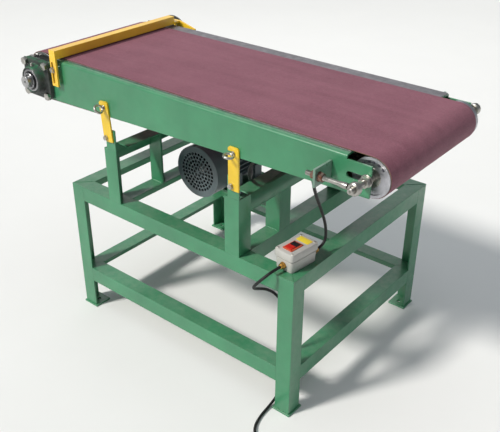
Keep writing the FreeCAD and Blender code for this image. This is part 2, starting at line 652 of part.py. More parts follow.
def motor():
    front = "motor_front + cowl_length"
    rear = f"{front} + frame_length"
    node("motor_plate", cut(fuse(
        box(("motor_plate_right - portal_left - wall", "motor_plate_rear - motor_plate_front",
             "motor_plate_thickness"),
            ("portal_left + wall", "motor_plate_front", "motor_foot - motor_plate_thickness")),
        box(("portal_right + profile - wall - motor_plate_right", "motor_plate_arm", "motor_plate_thickness"),
            ("motor_plate_right", "motor_plate_front", "motor_foot - motor_plate_thickness"))),
        *foot_bolt_holes()))
    node("motor_frame", motor_frame())
    reach = "shield_length + shield_boss_length"
    rear_shield = fuse(rod("frame_radius + fin_height - shield_drop", "shield_length",
                           ("motor_x", rear, "motor_z")),
                       rod("shield_boss", reach, ("motor_x", rear, "motor_z")))
    bore = rod("motor_shaft_radius + pin_clearance", reach, ("motor_x", rear, "motor_z"))
    front_shield = tube("stator_bore", "motor_shaft_radius + pin_clearance", "shield_length",
                        ("motor_x", front, "motor_z"))
    node("motor_end_shields", group(cut(rear_shield, bore), front_shield))
    node("fan_cowl", fan_cowl())
    node("cooling_fan", cooling_fan())
    node("motor_shaft", fuse(
        rod("motor_shaft_radius", "pulley_front + pulley_width + shaft_stub - motor_front - shaft_set_back",
            ("motor_x", "motor_front + shaft_set_back", "motor_z")),
        rod("stator_bore - rotor_gap", "frame_length - 2 * rotor_inset",
            ("motor_x", f"{front} + rotor_inset", "motor_z"))))
    node("motor_pulley", pulley("motor_x", "motor_z", "motor_pulley_radius", "motor_shaft_radius"))
    top = "motor_z + frame_radius + fin_height"
    near = f"{front} + terminal_set_back"
    lid_z = f"{top} + terminal_height"
    gland_at = ("motor_x + terminal_width / 2", f"{near} + terminal_length / 2",
                f"{top} + terminal_height / 2")
    node("terminal_box", cut(fuse(
        box(("terminal_width", "terminal_length", "terminal_height"),
            ("motor_x - terminal_width / 2", near, top)),
        box(("terminal_width + 2 * terminal_lip", "terminal_length + 2 * terminal_lip", "terminal_lid"),
            ("motor_x - terminal_width / 2 - terminal_lip", f"{near} - terminal_lip", lid_z)),
        rod("terminal_gland", "terminal_gland_length", gland_at, ALONG)),
        rod("lead_radius", "terminal_gland_length", gland_at, ALONG)))


# ---------------------------------------------------------------- idler and tensioner
def idler_drum():
    """Idler tube with flush end discs; an arc of shallow drillings in each disc balances it."""
    drum = roller("idler_x", "idler_z", "idler_radius", "idler_near", "idler_width", "bearing_outer",
                  "idler_recess")
    drillings = []
    for step in range(BALANCE_DRILLINGS):
        turn = f"(balance_first - {step} * balance_step) * 1deg"
        for y in ("idler_near + idler_recess", "idler_near + idler_width - idler_recess - balance_depth"):
            drillings.append(rod("balance_drill", "balance_depth", (
                f"idler_x + balance_radius * cos({turn})", y, f"idler_z + balance_radius * sin({turn})")))
    return cut(drum, *drillings)


def tension_rod(y):
    """Threaded rod whose eye holds one end of the idler shaft."""
    eye = rod("eye_radius", "eye_width", ("idler_x", f"{y} - eye_width / 2", "idler_z"))
    stem = rod("rod_radius", "idler_x - rod_end", ("rod_end", y, "idler_z"), ALONG)
    neck = box(("neck_length", "eye_width - 2 * neck_inset", "neck_height"),
               ("idler_x - eye_radius - neck_reach", f"{y} - eye_width / 2 + neck_inset",
                "idler_z - neck_height / 2"))
    return cut(fuse(eye, stem, neck),
               rod("idler_journal", "eye_width", ("idler_x", f"{y} - eye_width / 2", "idler_z")))


def tension_bracket(rear):
    """Plate across the web that the threaded rod pulls on."""
    y_from = "bed_width" if rear else "- bracket_reach"
    rod_y = "bed_width + rod_offset" if rear else "- rod_offset"
    plate = box(("bracket_thickness", "bracket_reach", "bracket_top - bracket_bottom"),
                ("bracket_x", y_from, "bracket_bottom"))
    return cut(plate, rod("rod_radius + rod_clearance", "bracket_thickness",
                          ("bracket_x", rod_y, "idler_z"), ALONG))


def tensioner():
    node("idler_drum", idler_drum())
    node("idler_bearings", group(*[
        tube("bearing_outer", "idler_shaft_radius + pin_clearance", "end_disc", ("idler_x", y, "idler_z"))
        for y in ("idler_near + idler_recess", "idler_near + idler_width - end_disc - idler_recess")]))
    nuts = [hexagon("shaft_nut", "shaft_nut_length", ("idler_x", y, "idler_z"))
            for y in ("- shaft_nut_reach - shaft_nut_length", "bed_width + shaft_nut_reach")]
    collars = [rod("collar_radius", "collar_width", ("idler_x", y, "idler_z"))
               for y in ("- collar_gap - collar_width", "bed_width + collar_gap")]
    node("idler_shaft", fuse(
        rod("idler_shaft_radius", "bed_width - 2 * wall - 2 * shoulder_gap",
            ("idler_x", "wall + shoulder_gap", "idler_z")),
        rod("idler_journal", "bed_width + 2 * idler_reach", ("idler_x", "- idler_reach", "idler_z")),
        *nuts, *collars))
    rod_lines = {"front": "- rod_offset", "rear": "bed_width + rod_offset"}
    node("tension_rods", group(*[tension_rod(y) for y in rod_lines.values()]))
    node("tension_brackets", group(tension_bracket(False), tension_bracket(True)))

    def nut(y, nut_x, washer_x):
        bore_x = f"({nut_x}) - nut_thickness / 2"
        return cut(fuse(hexagon("nut_circumradius", "nut_thickness", (nut_x, y, "idler_z"), ALONG),
                        rod("nut_circumradius + washer_lip", "washer", (washer_x, y, "idler_z"), ALONG)),
                   rod("rod_radius + pin_clearance", "2 * nut_thickness", (bore_x, y, "idler_z"), ALONG))

    lock_x = "bracket_x - washer - nut_thickness"
    bracket_face = "bracket_x + bracket_thickness + head_gap"
    node("lock_nuts", group(*[nut(y, lock_x, "bracket_x - washer") for y in rod_lines.values()]))
    for side, y in rod_lines.items():
        node(f"adjusting_nut_{side}", nut(y, f"{bracket_face} + washer", bracket_face))


# ---------------------------------------------------------------- fence
def fence():
    bar = fuse(
        cut(box(("fence_width", "fence_end - fence_front - fence_plate", "fence_top - fence_bottom"),
                ("fence_left", "fence_front + fence_plate", "fence_bottom")),
            box(("fence_width - 2 * fence_wall", "fence_end - fence_front - fence_plate",
                 "fence_top - fence_bottom - 2 * fence_wall"),
                ("fence_left + fence_wall", "fence_front + fence_plate", "fence_bottom + fence_wall"))),
        box(("fence_width", "bed_width - fence_front - fence_plate - fence_end",
             "fence_tail_top - fence_bottom"), ("fence_left", "fence_end", "fence_bottom")))
    node("fence_bar", bar)

    def slot(y):
        low = "fence_slot_bottom + fence_slot_width / 2"
        high = "fence_slot_top - fence_slot_width / 2"
        return [box(("fence_slot_width", "fence_plate", f"{high} - ({low})"),
                    ("fence_slot_x - fence_slot_width / 2", y, low)),
                *[rod("fence_slot_width / 2", "fence_plate", ("fence_slot_x", y, z)) for z in (low, high)]]

    right = "fence_left + fence_width"
    front = box(("fence_width", "fence_plate", "fence_top - fence_plate_bottom"),
                ("fence_left", "fence_front", "fence_plate_bottom"))
    rear_y = "bed_width - fence_front - fence_plate"
    rear = place(sheet_metal("XZ_Plane", [
        ("fence_left", "fence_plate_bottom"), (right, "fence_plate_bottom"),
        (right, "fence_bottom - fence_neck"), ("fence_tail_x", "fence_tail_z - fence_tail_depth"),
        ("fence_tail_x", "fence_tail_z"), (right, "fence_tail_top"),
        ("fence_left", "fence_tail_top")], "fence_plate", True), (0, rear_y, 0))
    node("fence_plates", group(cut(front, *slot("fence_front")), cut(rear, *slot(rear_y))))
    clamps = []
    washer_front = "fence_front - head_gap - clamp_washer_thickness"
    washer_rear = f"{rear_y} + fence_plate + head_gap"
    for spacer_y, washer_y, head_y, shank_y in (
            ("fence_front + fence_plate + head_gap", washer_front, f"{washer_front} - clamp_head",
             washer_front),
            ("bed_width", washer_rear, f"{washer_rear} + clamp_washer_thickness",
             "bed_width - wall - clamp_stub")):
        clamps.append(fuse(
            rod("pin_radius", "wall + clamp_stub + head_gap + clamp_washer_thickness - fence_front",
                ("fence_slot_x", shank_y, "fence_bolt_z")),
            rod("clamp_spacer", "- fence_front - fence_plate - head_gap",
                ("fence_slot_x", spacer_y, "fence_bolt_z")),
            rod("clamp_washer", "clamp_washer_thickness", ("fence_slot_x", washer_y, "fence_bolt_z")),
            hexagon("small_hexagon", "clamp_head", ("fence_slot_x", head_y, "fence_bolt_z"))))
    node("fence_clamps", group(*clamps))


# ---------------------------------------------------------------- straps
def strap():
    """Flat bar that swings on its lower hole; the slot at the top opens to the left."""
    left = "- strap_edge"
    right = "strap_width - strap_edge"
    bar = sheet_metal("XZ_Plane", [
        (f"{left} + strap_cut", "- strap_foot"), (right, "- strap_foot"),
        (right, "strap_rise - strap_corner"), (f"{right} - strap_corner", "strap_rise"),
        (f"{left} + strap_corner", "strap_rise"), (left, "strap_rise - strap_corner"),
        (left, "strap_cut - strap_foot")], "strap_thickness")
    middle = "strap_width / 2 - strap_edge"
    return cut(bar,
               rod("pin_radius + pin_clearance", "strap_thickness", (0, "- strap_thickness", 0)),
               rod("strap_slot / 2", "strap_thickness", (middle, "- strap_thickness", "strap_eye_z")),
               box(("strap_width / 2 + 1", "strap_thickness", "strap_slot"),
                   (f"{left} - 1", "- strap_thickness", "strap_eye_z - strap_slot / 2")))


def eye_bolt(roll):
    """Shank through the strap and the web, collar, and a forged ring rolled about the shank."""
    face = "- strap_gap - strap_thickness"
    ring_y = f"{face} - collar_height - eye_ring - eye_wire"
    ring = doc.addObject("Part::Torus", "ring")
    bind(ring, Radius1="eye_ring", Radius2="eye_wire")
    place(ring, (0, ring_y, 0), Rotation(Vector(0, 1, 0), roll))
    return fuse(rod("pin_radius", "strap_gap + strap_thickness + eye_neck + wall + eye_stub",
                    (0, f"{face} - eye_neck", 0)),
                rod("eye_collar", "collar_height", (0, f"{face} - head_gap - collar_height", 0)), ring)


def straps():
    for name, roll in EYE_ROLLS.items():
        left = name == "left"
        lean = Rotation(Vector(0, 1, 0), -size("strap_left_lean") if left else 0)
        node(f"strap_{name}", strap(), (pivot_x(left), "- strap_gap", "strap_z"), lean)
        x, z = strap_eye(left)
        node(f"eye_bolt_{name}", eye_bolt(roll), (x, 0, z))
    pins = []
    for left in (True, False):
        x = pivot_x(left)
        front = "- strap_thickness - strap_gap - head_gap"
        washer_y = f"{front} - small_washer_thickness"
        pins.append(fuse(
            rod("pin_radius", "strap_thickness + strap_gap + head_gap + wall + small_stub",
                (x, front, "strap_z")),
            rod("small_washer", "small_washer_thickness", (x, washer_y, "strap_z")),
            hexagon("small_hexagon", "small_head", (x, f"{washer_y} - small_head", "strap_z")),
            hexagon("small_hexagon", "small_nut", (x, "wall", "strap_z"))))
        eye_x, eye_z = strap_eye(left)
        pins.append(cut(hexagon("small_hexagon", "small_nut", (eye_x, "wall", eye_z)),
                        rod("pin_radius + pin_clearance", "small_nut", (eye_x, "wall", eye_z))))
    node("strap_pins", group(*pins))


# ---------------------------------------------------------------- push-button box
def switch_box():
    """Two-part case on the corner of the stand, in a frame centred on its underside."""
    turn = Rotation(Vector(0, 0, 1), size("box_turn"))
    base = ("box_x", "box_y", "stand_height")

    def block(width, length, bottom, top, middle_y="0"):
        return box((width, length, f"{top} - ({bottom})"),
                   (f"- ({width}) / 2", f"{middle_y} - ({length}) / 2", bottom))

    case_width = "box_width - 2 * case_inset"
    case_length = "box_length - 2 * case_inset"
    glands = {
        "front": ("front_gland_x", "front_gland_z", "- box_length / 2 + case_inset", -1),
        "rear": ("rear_gland_x", "rear_gland_z", "box_length / 2 - case_inset", 1),
    }
    holes = [rod("gland_radius - 2", "2 * box_wall", (x, f"{face} - box_wall", z))
             for x, z, face, _ in glands.values()]
    case = cut(block(case_width, case_length, "0", "box_seam"),
               block(f"{case_width} - 2 * box_wall", f"{case_length} - 2 * box_wall", "box_wall", "box_seam"),
               *holes)
    node("switch_case", case, base, turn)
    buttons = {"stop_button": "stop_y", "start_button": "start_y"}
    windows = [block("button_width + 2 * button_gap", "button_length + 2 * button_gap",
                     "box_height - box_wall", "box_height", middle) for middle in buttons.values()]
    lid = cut(block("box_width", "box_length", "box_seam", "box_height"),
              block("box_width - 2 * box_wall", "box_length - 2 * box_wall", "box_seam",
                    "box_height - box_wall"),
              *windows)
    node("switch_lid", lid, base, turn)
    for name, middle in buttons.items():
        cap = block("button_width", "button_length", "box_height - 2 * box_wall",
                    "box_height + button_rise", middle)
        stem = rod("lead_radius", "stem_length", (0, middle, "box_height - 2 * box_wall - stem_length"), UP)
        node(name, fuse(cap, stem), base, turn)
    contacts = block("button_width + 2 * contact_margin_x",
                     "start_y - stop_y + button_length + 2 * contact_margin_y", "box_wall",
                     "box_height - 2 * box_wall - stem_length - button_throw", "(stop_y + start_y) / 2")
    node("contact_block", group(contacts), base, turn)
    bodies = []
    for x, z, face, side in glands.values():
        nut_y = face if side > 0 else f"{face} - gland_length / 2"
        sleeve_y = face if side > 0 else f"{face} - gland_length"
        bodies.append(cut(
            fuse(hexagon("gland_radius * gland_hexagon", "gland_length / 2", (x, nut_y, z)),
                 rod("gland_radius - 1", "gland_length", (x, sleeve_y, z)),
                 rod("gland_radius - 2", "box_wall", (x, face if side < 0 else f"{face} - box_wall", z))),
            rod("lead_radius", "gland_length + box_wall", (
                x, f"{face} - gland_length" if side < 0 else f"{face} - box_wall", z))))
    node("cable_glands", group(*bodies), base, turn)


# ---------------------------------------------------------------- leads
def lead_tube(points, radius):
    """Round lead along straight runs joined by tangent arcs, each as large as its runs allow."""
    def unit(a, b):
        return (b - a).normalize()

    edges = []
    start = points[0]
    for before, corner, after in zip(points, points[1:], points[2:]):
        run = min((corner - before).Length, (after - corner).Length)
        into = unit(before, corner)
        out = unit(corner, after)
        half_turn = math.acos(max(-1, min(1, into.dot(out)))) / 2
        reach = 0.45 * run
        bend = reach / math.tan(half_turn)
        entry = corner - into * reach
        leave = corner + out * reach
        towards = (out - into).normalize()
        middle = corner + towards * (bend / math.cos(half_turn) - bend)
        turn = math.degrees(2 * half_turn)
        print(f"lead bend radius {bend:.1f} mm, turn {turn:.0f} degrees, run {run:.0f} mm")
        edges.append(Part.LineSegment(start, entry).toShape())
        edges.append(Part.Arc(entry, middle, leave).toShape())
        start = leave
    edges.append(Part.LineSegment(start, points[-1]).toShape())
    path = Part.Wire(edges)
    profile = Part.Wire(Part.makeCircle(radius, points[0], unit(points[0], points[1])))
    tube_shape = path.makePipeShell([profile], True, False)
    expected = math.pi * radius ** 2 * path.Length
    print(f"lead length {path.Length:.0f} mm, volume {tube_shape.Volume:.0f} against {expected:.0f}")
    return tube_shape


SUPPLY_ROUTE = [
    (813.9, 14.3, 477), (811, -11, 476.5), (804, -34, 468), (789, -44, 449), (771, -40, 426),
    (759, -24, 405), (754, 2, 389), (758, 28, 376), (768, 50, 358), (783, 63, 334), (795, 68, 303),
    (801, 70, 262), (804, 68, 212), (804, 70, 162), (805, 71, 116), (805, 68, 76), (805, 52, 40),
    (806, 24, 14), (807, -18, 4.9), (812, -60, 4.5), (825, -99, 4.5), (850, -124, 4.5), (884, -131.5, 4.5),
]
MOTOR_ROUTE = [
    (845, 137.6, 485), (846.4, 152, 486), (847.5, 165, 494), (848, 171, 510), (848, 169, 534),
    (852, 154, 567), (859, 130, 602), (869, 101, 640), (880, 71, 675), (892, 44, 706), (902, 21, 733),
    (904, 12, 757), (893, 11.5, 781), (867, 13.5, 792), (828, 16, 793), (788, 14, 786), (751, 16, 769),
    (721, 13, 746), (696, 31, 712), (673, 61, 675), (656, 88, 646), (628, 120, 634), (600, 158, 615),
    (565, 205, 592), (527, 251, 575), (489, 298, 569), (456, 341, 575), (431, 375, 588), (408, 400, 601),
    (385, 407, 607),
]
CLIPPED_POINTS = ((828, 16, 793), (751, 16, 769))


def supply_coil():
    """Outer shape of the wound-up length of the supply lead, lying on the floor."""
    return tube("coil_radius + coil_band / 2", "coil_radius - coil_band / 2", "coil_height",
                ("coil_x", "coil_y", 0), UP)


def supply_plug():
    """Round rubber plug with three flat pins, lying on the floor along -X beside the coil."""
    axis_y = "coil_y - coil_radius - lead_radius * 2"
    relief_end = "coil_x - plug_offset - plug_relief"
    body = rod("plug_radius", "plug_length", (f"{relief_end} - plug_length", axis_y, "plug_radius"), ALONG)
    relief = doc.addObject("Part::Cone", "relief")
    bind(relief, Radius1="relief_root", Radius2="relief_tip", Height="plug_relief")
    place(relief, (relief_end, axis_y, "plug_radius + relief_rise"), TURNS[ALONG])
    face = f"{relief_end} - plug_length - pin_length"
    pins = [box(("pin_length", width, height),
                (face, f"{axis_y} + {y} - {width} / 2", f"plug_radius + {z} - {height} / 2"))
            for y, z, width, height in (
                ("(- line_pin_y)", "line_pin_z", "pin_thickness", "pin_width"),
                ("line_pin_y", "line_pin_z", "pin_thickness", "pin_width"),
                ("0", "(- earth_pin_z)", "pin_width", "pin_thickness"))]
    return fuse(body, relief, *pins)


def lead_clips():
    """Saddles that hold the motor lead against the inside of the front side plate."""
    clips = []
    for x, y, z in CLIPPED_POINTS:
        band = rod("lead_radius + clip_wall", "clip_length", (f"{x} - clip_length / 2", y, z), ALONG)
        foot = box(("clip_length", f"{y} - wall", "clip_foot"),
                   (f"{x} - clip_length / 2", "wall", f"{z} - clip_foot / 2"))
        clips.append(fuse(band, foot))
    return group(*clips)


def leads():
    for name, route in (("supply_lead", SUPPLY_ROUTE), ("motor_lead", MOTOR_ROUTE)):
        node(name, free_shape(lead_tube([Vector(*point) for point in route], size("lead_radius"))))
    node("supply_coil", supply_coil())
    node("supply_plug", supply_plug())
    node("lead_clips", lead_clips())


stand()
node("portal_left", portal("portal_left", True))
node("portal_right", portal("portal_right", False))
bed()
drive()
motor()
tensioner()
fence()
straps()
switch_box()
leads()
doc.recompute()

faults = []
for item in doc.Objects:
    if "Invalid" in item.State or "Error" in item.State:
        faults.append(f"{item.Label} ({item.Name}, {item.TypeId}): {item.State}")
for item in NODES:
    if item.Shape.isNull() or not item.Shape.isValid() or item.Shape.Volume <= 0:
        faults.append(f"{item.Label}: null or invalid shape")
for fault in faults:
    print("FAULT", fault)
if faults:
    raise SystemExit(1)
os.makedirs("parts", exist_ok=True)
for item in NODES:
    item.Shape.exportStep(f"parts/{item.Label}.step")
    bounds = item.Shape.BoundBox
    print(f"{item.Label:24s} solids {len(item.Shape.Solids)} "
          f"x {bounds.XMin:.1f}..{bounds.XMax:.1f} y {bounds.YMin:.1f}..{bounds.YMax:.1f} "
          f"z {bounds.ZMin:.1f}..{bounds.ZMax:.1f}")
print(len(NODES), "nodes")
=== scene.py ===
"""The looks of a stand-mounted belt sanding table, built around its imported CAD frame. Units are metres."""
import json
import math
import random

import bmesh
import bpy
from mathutils import Matrix, Vector, noise


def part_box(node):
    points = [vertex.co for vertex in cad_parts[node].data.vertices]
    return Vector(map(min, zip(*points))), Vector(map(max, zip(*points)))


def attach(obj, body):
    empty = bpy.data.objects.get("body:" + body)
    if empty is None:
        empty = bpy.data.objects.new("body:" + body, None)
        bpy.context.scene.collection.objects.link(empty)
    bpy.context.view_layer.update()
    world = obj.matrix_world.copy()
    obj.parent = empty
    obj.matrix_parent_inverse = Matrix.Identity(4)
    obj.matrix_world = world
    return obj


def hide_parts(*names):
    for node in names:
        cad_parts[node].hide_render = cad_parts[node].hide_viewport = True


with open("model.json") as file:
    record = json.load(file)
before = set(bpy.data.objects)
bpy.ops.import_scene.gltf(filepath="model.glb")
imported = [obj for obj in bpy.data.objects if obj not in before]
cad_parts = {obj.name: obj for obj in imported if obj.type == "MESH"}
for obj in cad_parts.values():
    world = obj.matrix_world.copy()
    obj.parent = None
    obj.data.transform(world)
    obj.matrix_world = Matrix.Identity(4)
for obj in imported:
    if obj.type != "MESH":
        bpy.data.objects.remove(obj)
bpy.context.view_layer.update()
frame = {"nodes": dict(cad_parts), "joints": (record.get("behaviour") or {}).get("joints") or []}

MM = 0.001
X, Y, Z = Vector((1, 0, 0)), Vector((0, 1, 0)), Vector((0, 0, 1))
STAND_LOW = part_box("legs")[0]
CORNER = Vector((STAND_LOW.x, STAND_LOW.y, 0))
rng = random.Random(7)


def at(x, y, z):
    """Point given in millimetres from the stand's front left corner at floor level."""
    return CORNER + Vector((x, y, z)) * MM


def from_corner(point):
    """A point of the frame in millimetres from that corner."""
    return (Vector(point) - CORNER) / MM


def middle(node):
    low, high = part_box(node)
    return from_corner((low + high) / 2)


def axis_of(joint_name):
    """Where a hinge's axis, which lies along Y, crosses the plane of the stand's front; in millimetres."""
    place = next(joint["pos_m"] for joint in frame["joints"] if joint["name"] == joint_name)
    crossing = from_corner(place)
    crossing.y = 0
    return crossing


DRIVE, IDLER = axis_of("drive_spin"), axis_of("idler_spin")


# ---------------------------------------------------------------- finishes
def display(red, green, blue):
    """Linear colour of a display colour given as 0 to 255."""
    return tuple(((c / 255 + 0.055) / 1.055) ** 2.4 for c in (red, green, blue)) + (1.0,)


def shade(colour, factor):
    return tuple(min(1.0, c * factor) for c in colour[:3]) + (1.0,)


class Finish:
    """A procedural material: one Principled shader and short calls for the nodes that feed it.

    Edge radii and bump depths are in millimetres; noise scales are per metre.
    """

    def __init__(self, name, **sockets):
        self.material = bpy.data.materials.new(name)
        self.material.use_nodes = True
        self.tree = self.material.node_tree
        self.shader = self.tree.nodes["Principled BSDF"]
        self.coordinates = self.node("ShaderNodeTexCoord").outputs["Object"]
        for socket, value in sockets.items():
            self.shader.inputs[socket.replace("_", " ")].default_value = value

    def node(self, kind, inputs=(), **settings):
        made = self.tree.nodes.new(kind)
        for setting, value in settings.items():
            setattr(made, setting, value)
        for socket, value in dict(inputs).items():
            self.put(made.inputs[socket], value)
        return made

    def put(self, socket, value):
        if isinstance(value, bpy.types.NodeSocket):
            self.tree.links.new(value, socket)
        else:
            socket.default_value = value

    def stretched(self, stretch):
        mapping = self.node("ShaderNodeMapping", {"Vector": self.coordinates, "Scale": stretch})
        return mapping.outputs["Vector"]

    def noise(self, scale, detail=4.0, roughness=0.6, stretch=(1, 1, 1), distortion=0.0):
        made = self.node("ShaderNodeTexNoise", {
            "Vector": self.stretched(stretch), "Scale": scale, "Detail": detail,
            "Roughness": roughness, "Distortion": distortion})
        return made.outputs["Fac"]

    def turned(self, centre):
        """Measure from now on as on a lathe, about a line along Y: distance from the line, and Y."""
        offset = self.node("ShaderNodeVectorMath", operation="SUBTRACT")
        self.put(offset.inputs[0], self.coordinates)
        self.put(offset.inputs[1], at(*centre))
        flat = self.node("ShaderNodeVectorMath", operation="MULTIPLY")
        self.put(flat.inputs[0], offset.outputs["Vector"])
        self.put(flat.inputs[1], (1, 0, 1))
        away = self.node("ShaderNodeVectorMath", operation="LENGTH")
        self.put(away.inputs[0], flat.outputs["Vector"])
        depth = self.node("ShaderNodeSeparateXYZ", {"Vector": self.coordinates}).outputs["Y"]
        joined = self.node("ShaderNodeCombineXYZ", {"X": away.outputs["Value"], "Y": depth})
        self.coordinates = joined.outputs["Vector"]

    def cells(self, scale):
        made = self.node("ShaderNodeTexVoronoi", {"Vector": self.coordinates, "Scale": scale})
        return made.outputs["Distance"]

    def span(self, source, low, high, to_low=0.0, to_high=1.0):
        made = self.node("ShaderNodeMapRange", {
            "Value": source, "From Min": low, "From Max": high, "To Min": to_low, "To Max": to_high})
        return made.outputs["Result"]

    def combine(self, operation, first, second):
        made = self.node("ShaderNodeMath", operation=operation)
        self.put(made.inputs[0], first)
        self.put(made.inputs[1], second)
        return made.outputs[0]

    def plus(self, first, second):
        return self.combine("ADD", first, second)

    def times(self, first, second):
        return self.combine("MULTIPLY", first, second)

    def mix(self, factor, first, second):
        made = self.node("ShaderNodeMix", data_type="RGBA")
        self.put(made.inputs[0], factor)
        self.put(made.inputs[6], first)
        self.put(made.inputs[7], second)
        return made.outputs[2]

    def edges(self, radius):
        """One on sharp edges and zero on flats: how far a rounded normal leaves the true one."""
        rounded = self.node("ShaderNodeBevel", {"Radius": radius * MM}, samples=4).outputs["Normal"]
        true = self.node("ShaderNodeNewGeometry").outputs["Normal"]
        dot = self.node("ShaderNodeVectorMath", operation="DOT_PRODUCT")
        self.put(dot.inputs[0], rounded)
        self.put(dot.inputs[1], true)
        return self.span(dot.outputs["Value"], 0.995, 0.85)

    def facing_up(self):
        normal = self.node("ShaderNodeNewGeometry").outputs["Normal"]
        return self.node("ShaderNodeSeparateXYZ", {"Vector": normal}).outputs["Z"]

    def set(self, **sockets):
        for socket, value in sockets.items():
            self.put(self.shader.inputs[socket.replace("_", " ")], value)
        return self

    def bump(self, height, depth, strength):
        made = self.node("ShaderNodeBump", {"Height": height, "Distance": depth * MM, "Strength": strength})
        return self.set(Normal=made.outputs["Normal"])


def paint(name, colour, bare=display(92, 90, 84), roughness=0.4, wear=0.8, dust=display(190, 188, 176)):
    """Sprayed enamel on steel: mottled colour, dusty tops, orange peel, and chips along the edges."""
    finish = Finish(name, Coat_Weight=0.55, Coat_Roughness=0.2)
    mottle = finish.noise(5.5, 6, 0.62)
    base = finish.mix(finish.span(mottle, 0.34, 0.68), shade(colour, 0.84), shade(colour, 1.1))
    runs = finish.span(finish.noise(22, 3, 0.5, stretch=(1, 1, 0.12)), 0.52, 0.78, 0, 0.3)
    base = finish.mix(runs, base, shade(colour, 0.66))
    settled = finish.times(finish.span(finish.facing_up(), 0.5, 1.0, 0, 0.13),
                           finish.span(finish.noise(38, 5, 0.7), 0.36, 0.7))
    base = finish.mix(settled, base, dust)
    chips = finish.times(finish.edges(1.6), finish.span(finish.noise(160, 4, 0.75), 0.5, 0.58))
    scuffs = finish.span(finish.noise(46, 8, 0.8, distortion=1.2), 0.69, 0.72)
    worn = finish.combine("MAXIMUM", finish.times(chips, wear), finish.times(scuffs, 0.5 * wear))
    finish.set(Base_Color=finish.mix(worn, base, bare),
               Metallic=finish.times(worn, 0.7),
               Roughness=finish.span(finish.noise(30, 5, 0.7), 0.3, 0.75, roughness - 0.08, roughness + 0.16))
    peel = finish.plus(finish.noise(520, 2, 0.5), finish.times(worn, -1.5))
    finish.bump(finish.plus(peel, finish.noise(24, 4, 0.6)), 0.18, 0.6)
    return finish.material


def steel(name, colour, roughness=0.3, rust=0.0, brushed=(1, 1, 1), grain=900, centre=None):
    """Bare or plated steel with tool marks, rings of them about a centre where it was turned, and rust."""
    finish = Finish(name)
    blotch = finish.noise(45, 6, 0.68)
    flat = finish.coordinates
    if centre is not None:
        finish.turned(centre)
    marks = finish.noise(grain, 3, 0.6, stretch=brushed)
    finish.coordinates = flat
    base = finish.mix(finish.span(blotch, 0.38, 0.68), shade(colour, 0.74), shade(colour, 1.12))
    base = finish.mix(finish.span(marks, 0.35, 0.7, 0, 0.35), base, shade(colour, 0.6))
    rusty = finish.span(finish.noise(170, 7, 0.78), 0.62 - 0.22 * rust, 0.72 - 0.16 * rust,
                        0, min(1, rust * 1.3))
    stain = finish.mix(finish.noise(400, 4, 0.7), display(122, 66, 34), display(70, 38, 26))
    finish.set(Base_Color=finish.mix(rusty, base, stain),
               Metallic=finish.span(rusty, 0, 1, 1.0, 0.15),
               Roughness=finish.plus(finish.span(marks, 0.3, 0.75, roughness - 0.07, roughness + 0.12),
                                     finish.times(rusty, 0.42)))
    finish.bump(finish.plus(marks, finish.times(rusty, finish.noise(900, 3, 0.7))), 0.12, 0.6)
    return finish.material


def casting(name, colour, overspray=None):
    """Rough cast iron, oily in its hollows; the paint that drifted onto its upper edges shows."""
    finish = Finish(name)
    grain = finish.noise(650, 6, 0.75)
    oil = finish.span(finish.noise(40, 6, 0.7), 0.35, 0.7)
    base = finish.mix(oil, shade(colour, 0.6), shade(colour, 1.5))
    if overspray:
        drift = finish.times(finish.span(finish.facing_up(), 0.05, 0.75),
                             finish.span(finish.noise(75, 6, 0.7), 0.38, 0.58))
        base = finish.mix(drift, base, overspray)
    bright = finish.times(finish.edges(1.8), finish.span(finish.noise(210, 4, 0.7), 0.5, 0.62))
    finish.set(Base_Color=finish.mix(bright, base, display(128, 124, 118)),
               Metallic=finish.span(bright, 0, 1, 0.35, 0.9),
               Roughness=finish.span(finish.noise(55, 5, 0.7), 0.3, 0.7, 0.42, 0.68))
    finish.bump(grain, 0.5, 0.55)
    return finish.material


def plastic(name, colour, roughness=0.38, mottle=0.06, spark=700, depth=0.08):
    """Moulded plastic with a fine spark-eroded grain and a little handling grime."""
    finish = Finish(name, Specular_IOR_Level=0.45)
    grime = finish.span(finish.noise(28, 6, 0.7), 0.5, 0.78, 0, 0.22)
    base = finish.mix(finish.noise(60, 4, 0.6), shade(colour, 1 - mottle), shade(colour, 1 + mottle))
    finish.set(Base_Color=finish.mix(grime, base, shade(colour, 0.62)),
               Roughness=finish.span(finish.noise(90, 5, 0.7), 0.3, 0.7, roughness - 0.06, roughness + 0.12))
    finish.bump(finish.noise(spark, 3, 0.6), depth, 0.7)
    return finish.material


def grit(name):
    """Open-coated mauve abrasive: packed grains, burnished lanes along the run, and pale specks of dust."""
    finish = Finish(name, Specular_IOR_Level=0.32, Sheen_Weight=0.12, Sheen_Roughness=0.5)
    grains = finish.cells(1150)
    clumps = finish.noise(420, 5, 0.7)
    lanes = finish.noise(26, 5, 0.62, stretch=(0.08, 1, 0.4))
    cloud = finish.noise(7, 5, 0.6)
    patches = finish.noise(250, 4, 0.85)
    base = finish.mix(finish.span(clumps, 0.3, 0.72), display(84, 40, 52), display(146, 84, 102))
    base = finish.mix(finish.span(patches, 0.38, 0.66, 0, 0.55), base, display(158, 100, 118))
    base = finish.mix(finish.span(lanes, 0.4, 0.68, 0, 0.5), base, display(104, 54, 68))
    base = finish.mix(finish.span(cloud, 0.42, 0.72, 0, 0.35), base, display(148, 94, 108))
    specks = finish.span(finish.noise(950, 2, 0.5), 0.68, 0.76, 0, 0.75)
    base = finish.mix(specks, base, display(202, 166, 172))
    finish.set(Base_Color=base, Roughness=finish.span(clumps, 0.3, 0.7, 0.62, 0.86))
    finish.bump(finish.plus(finish.plus(grains, clumps), finish.times(cloud, 0.6)), 0.45, 0.8)
    return finish.material


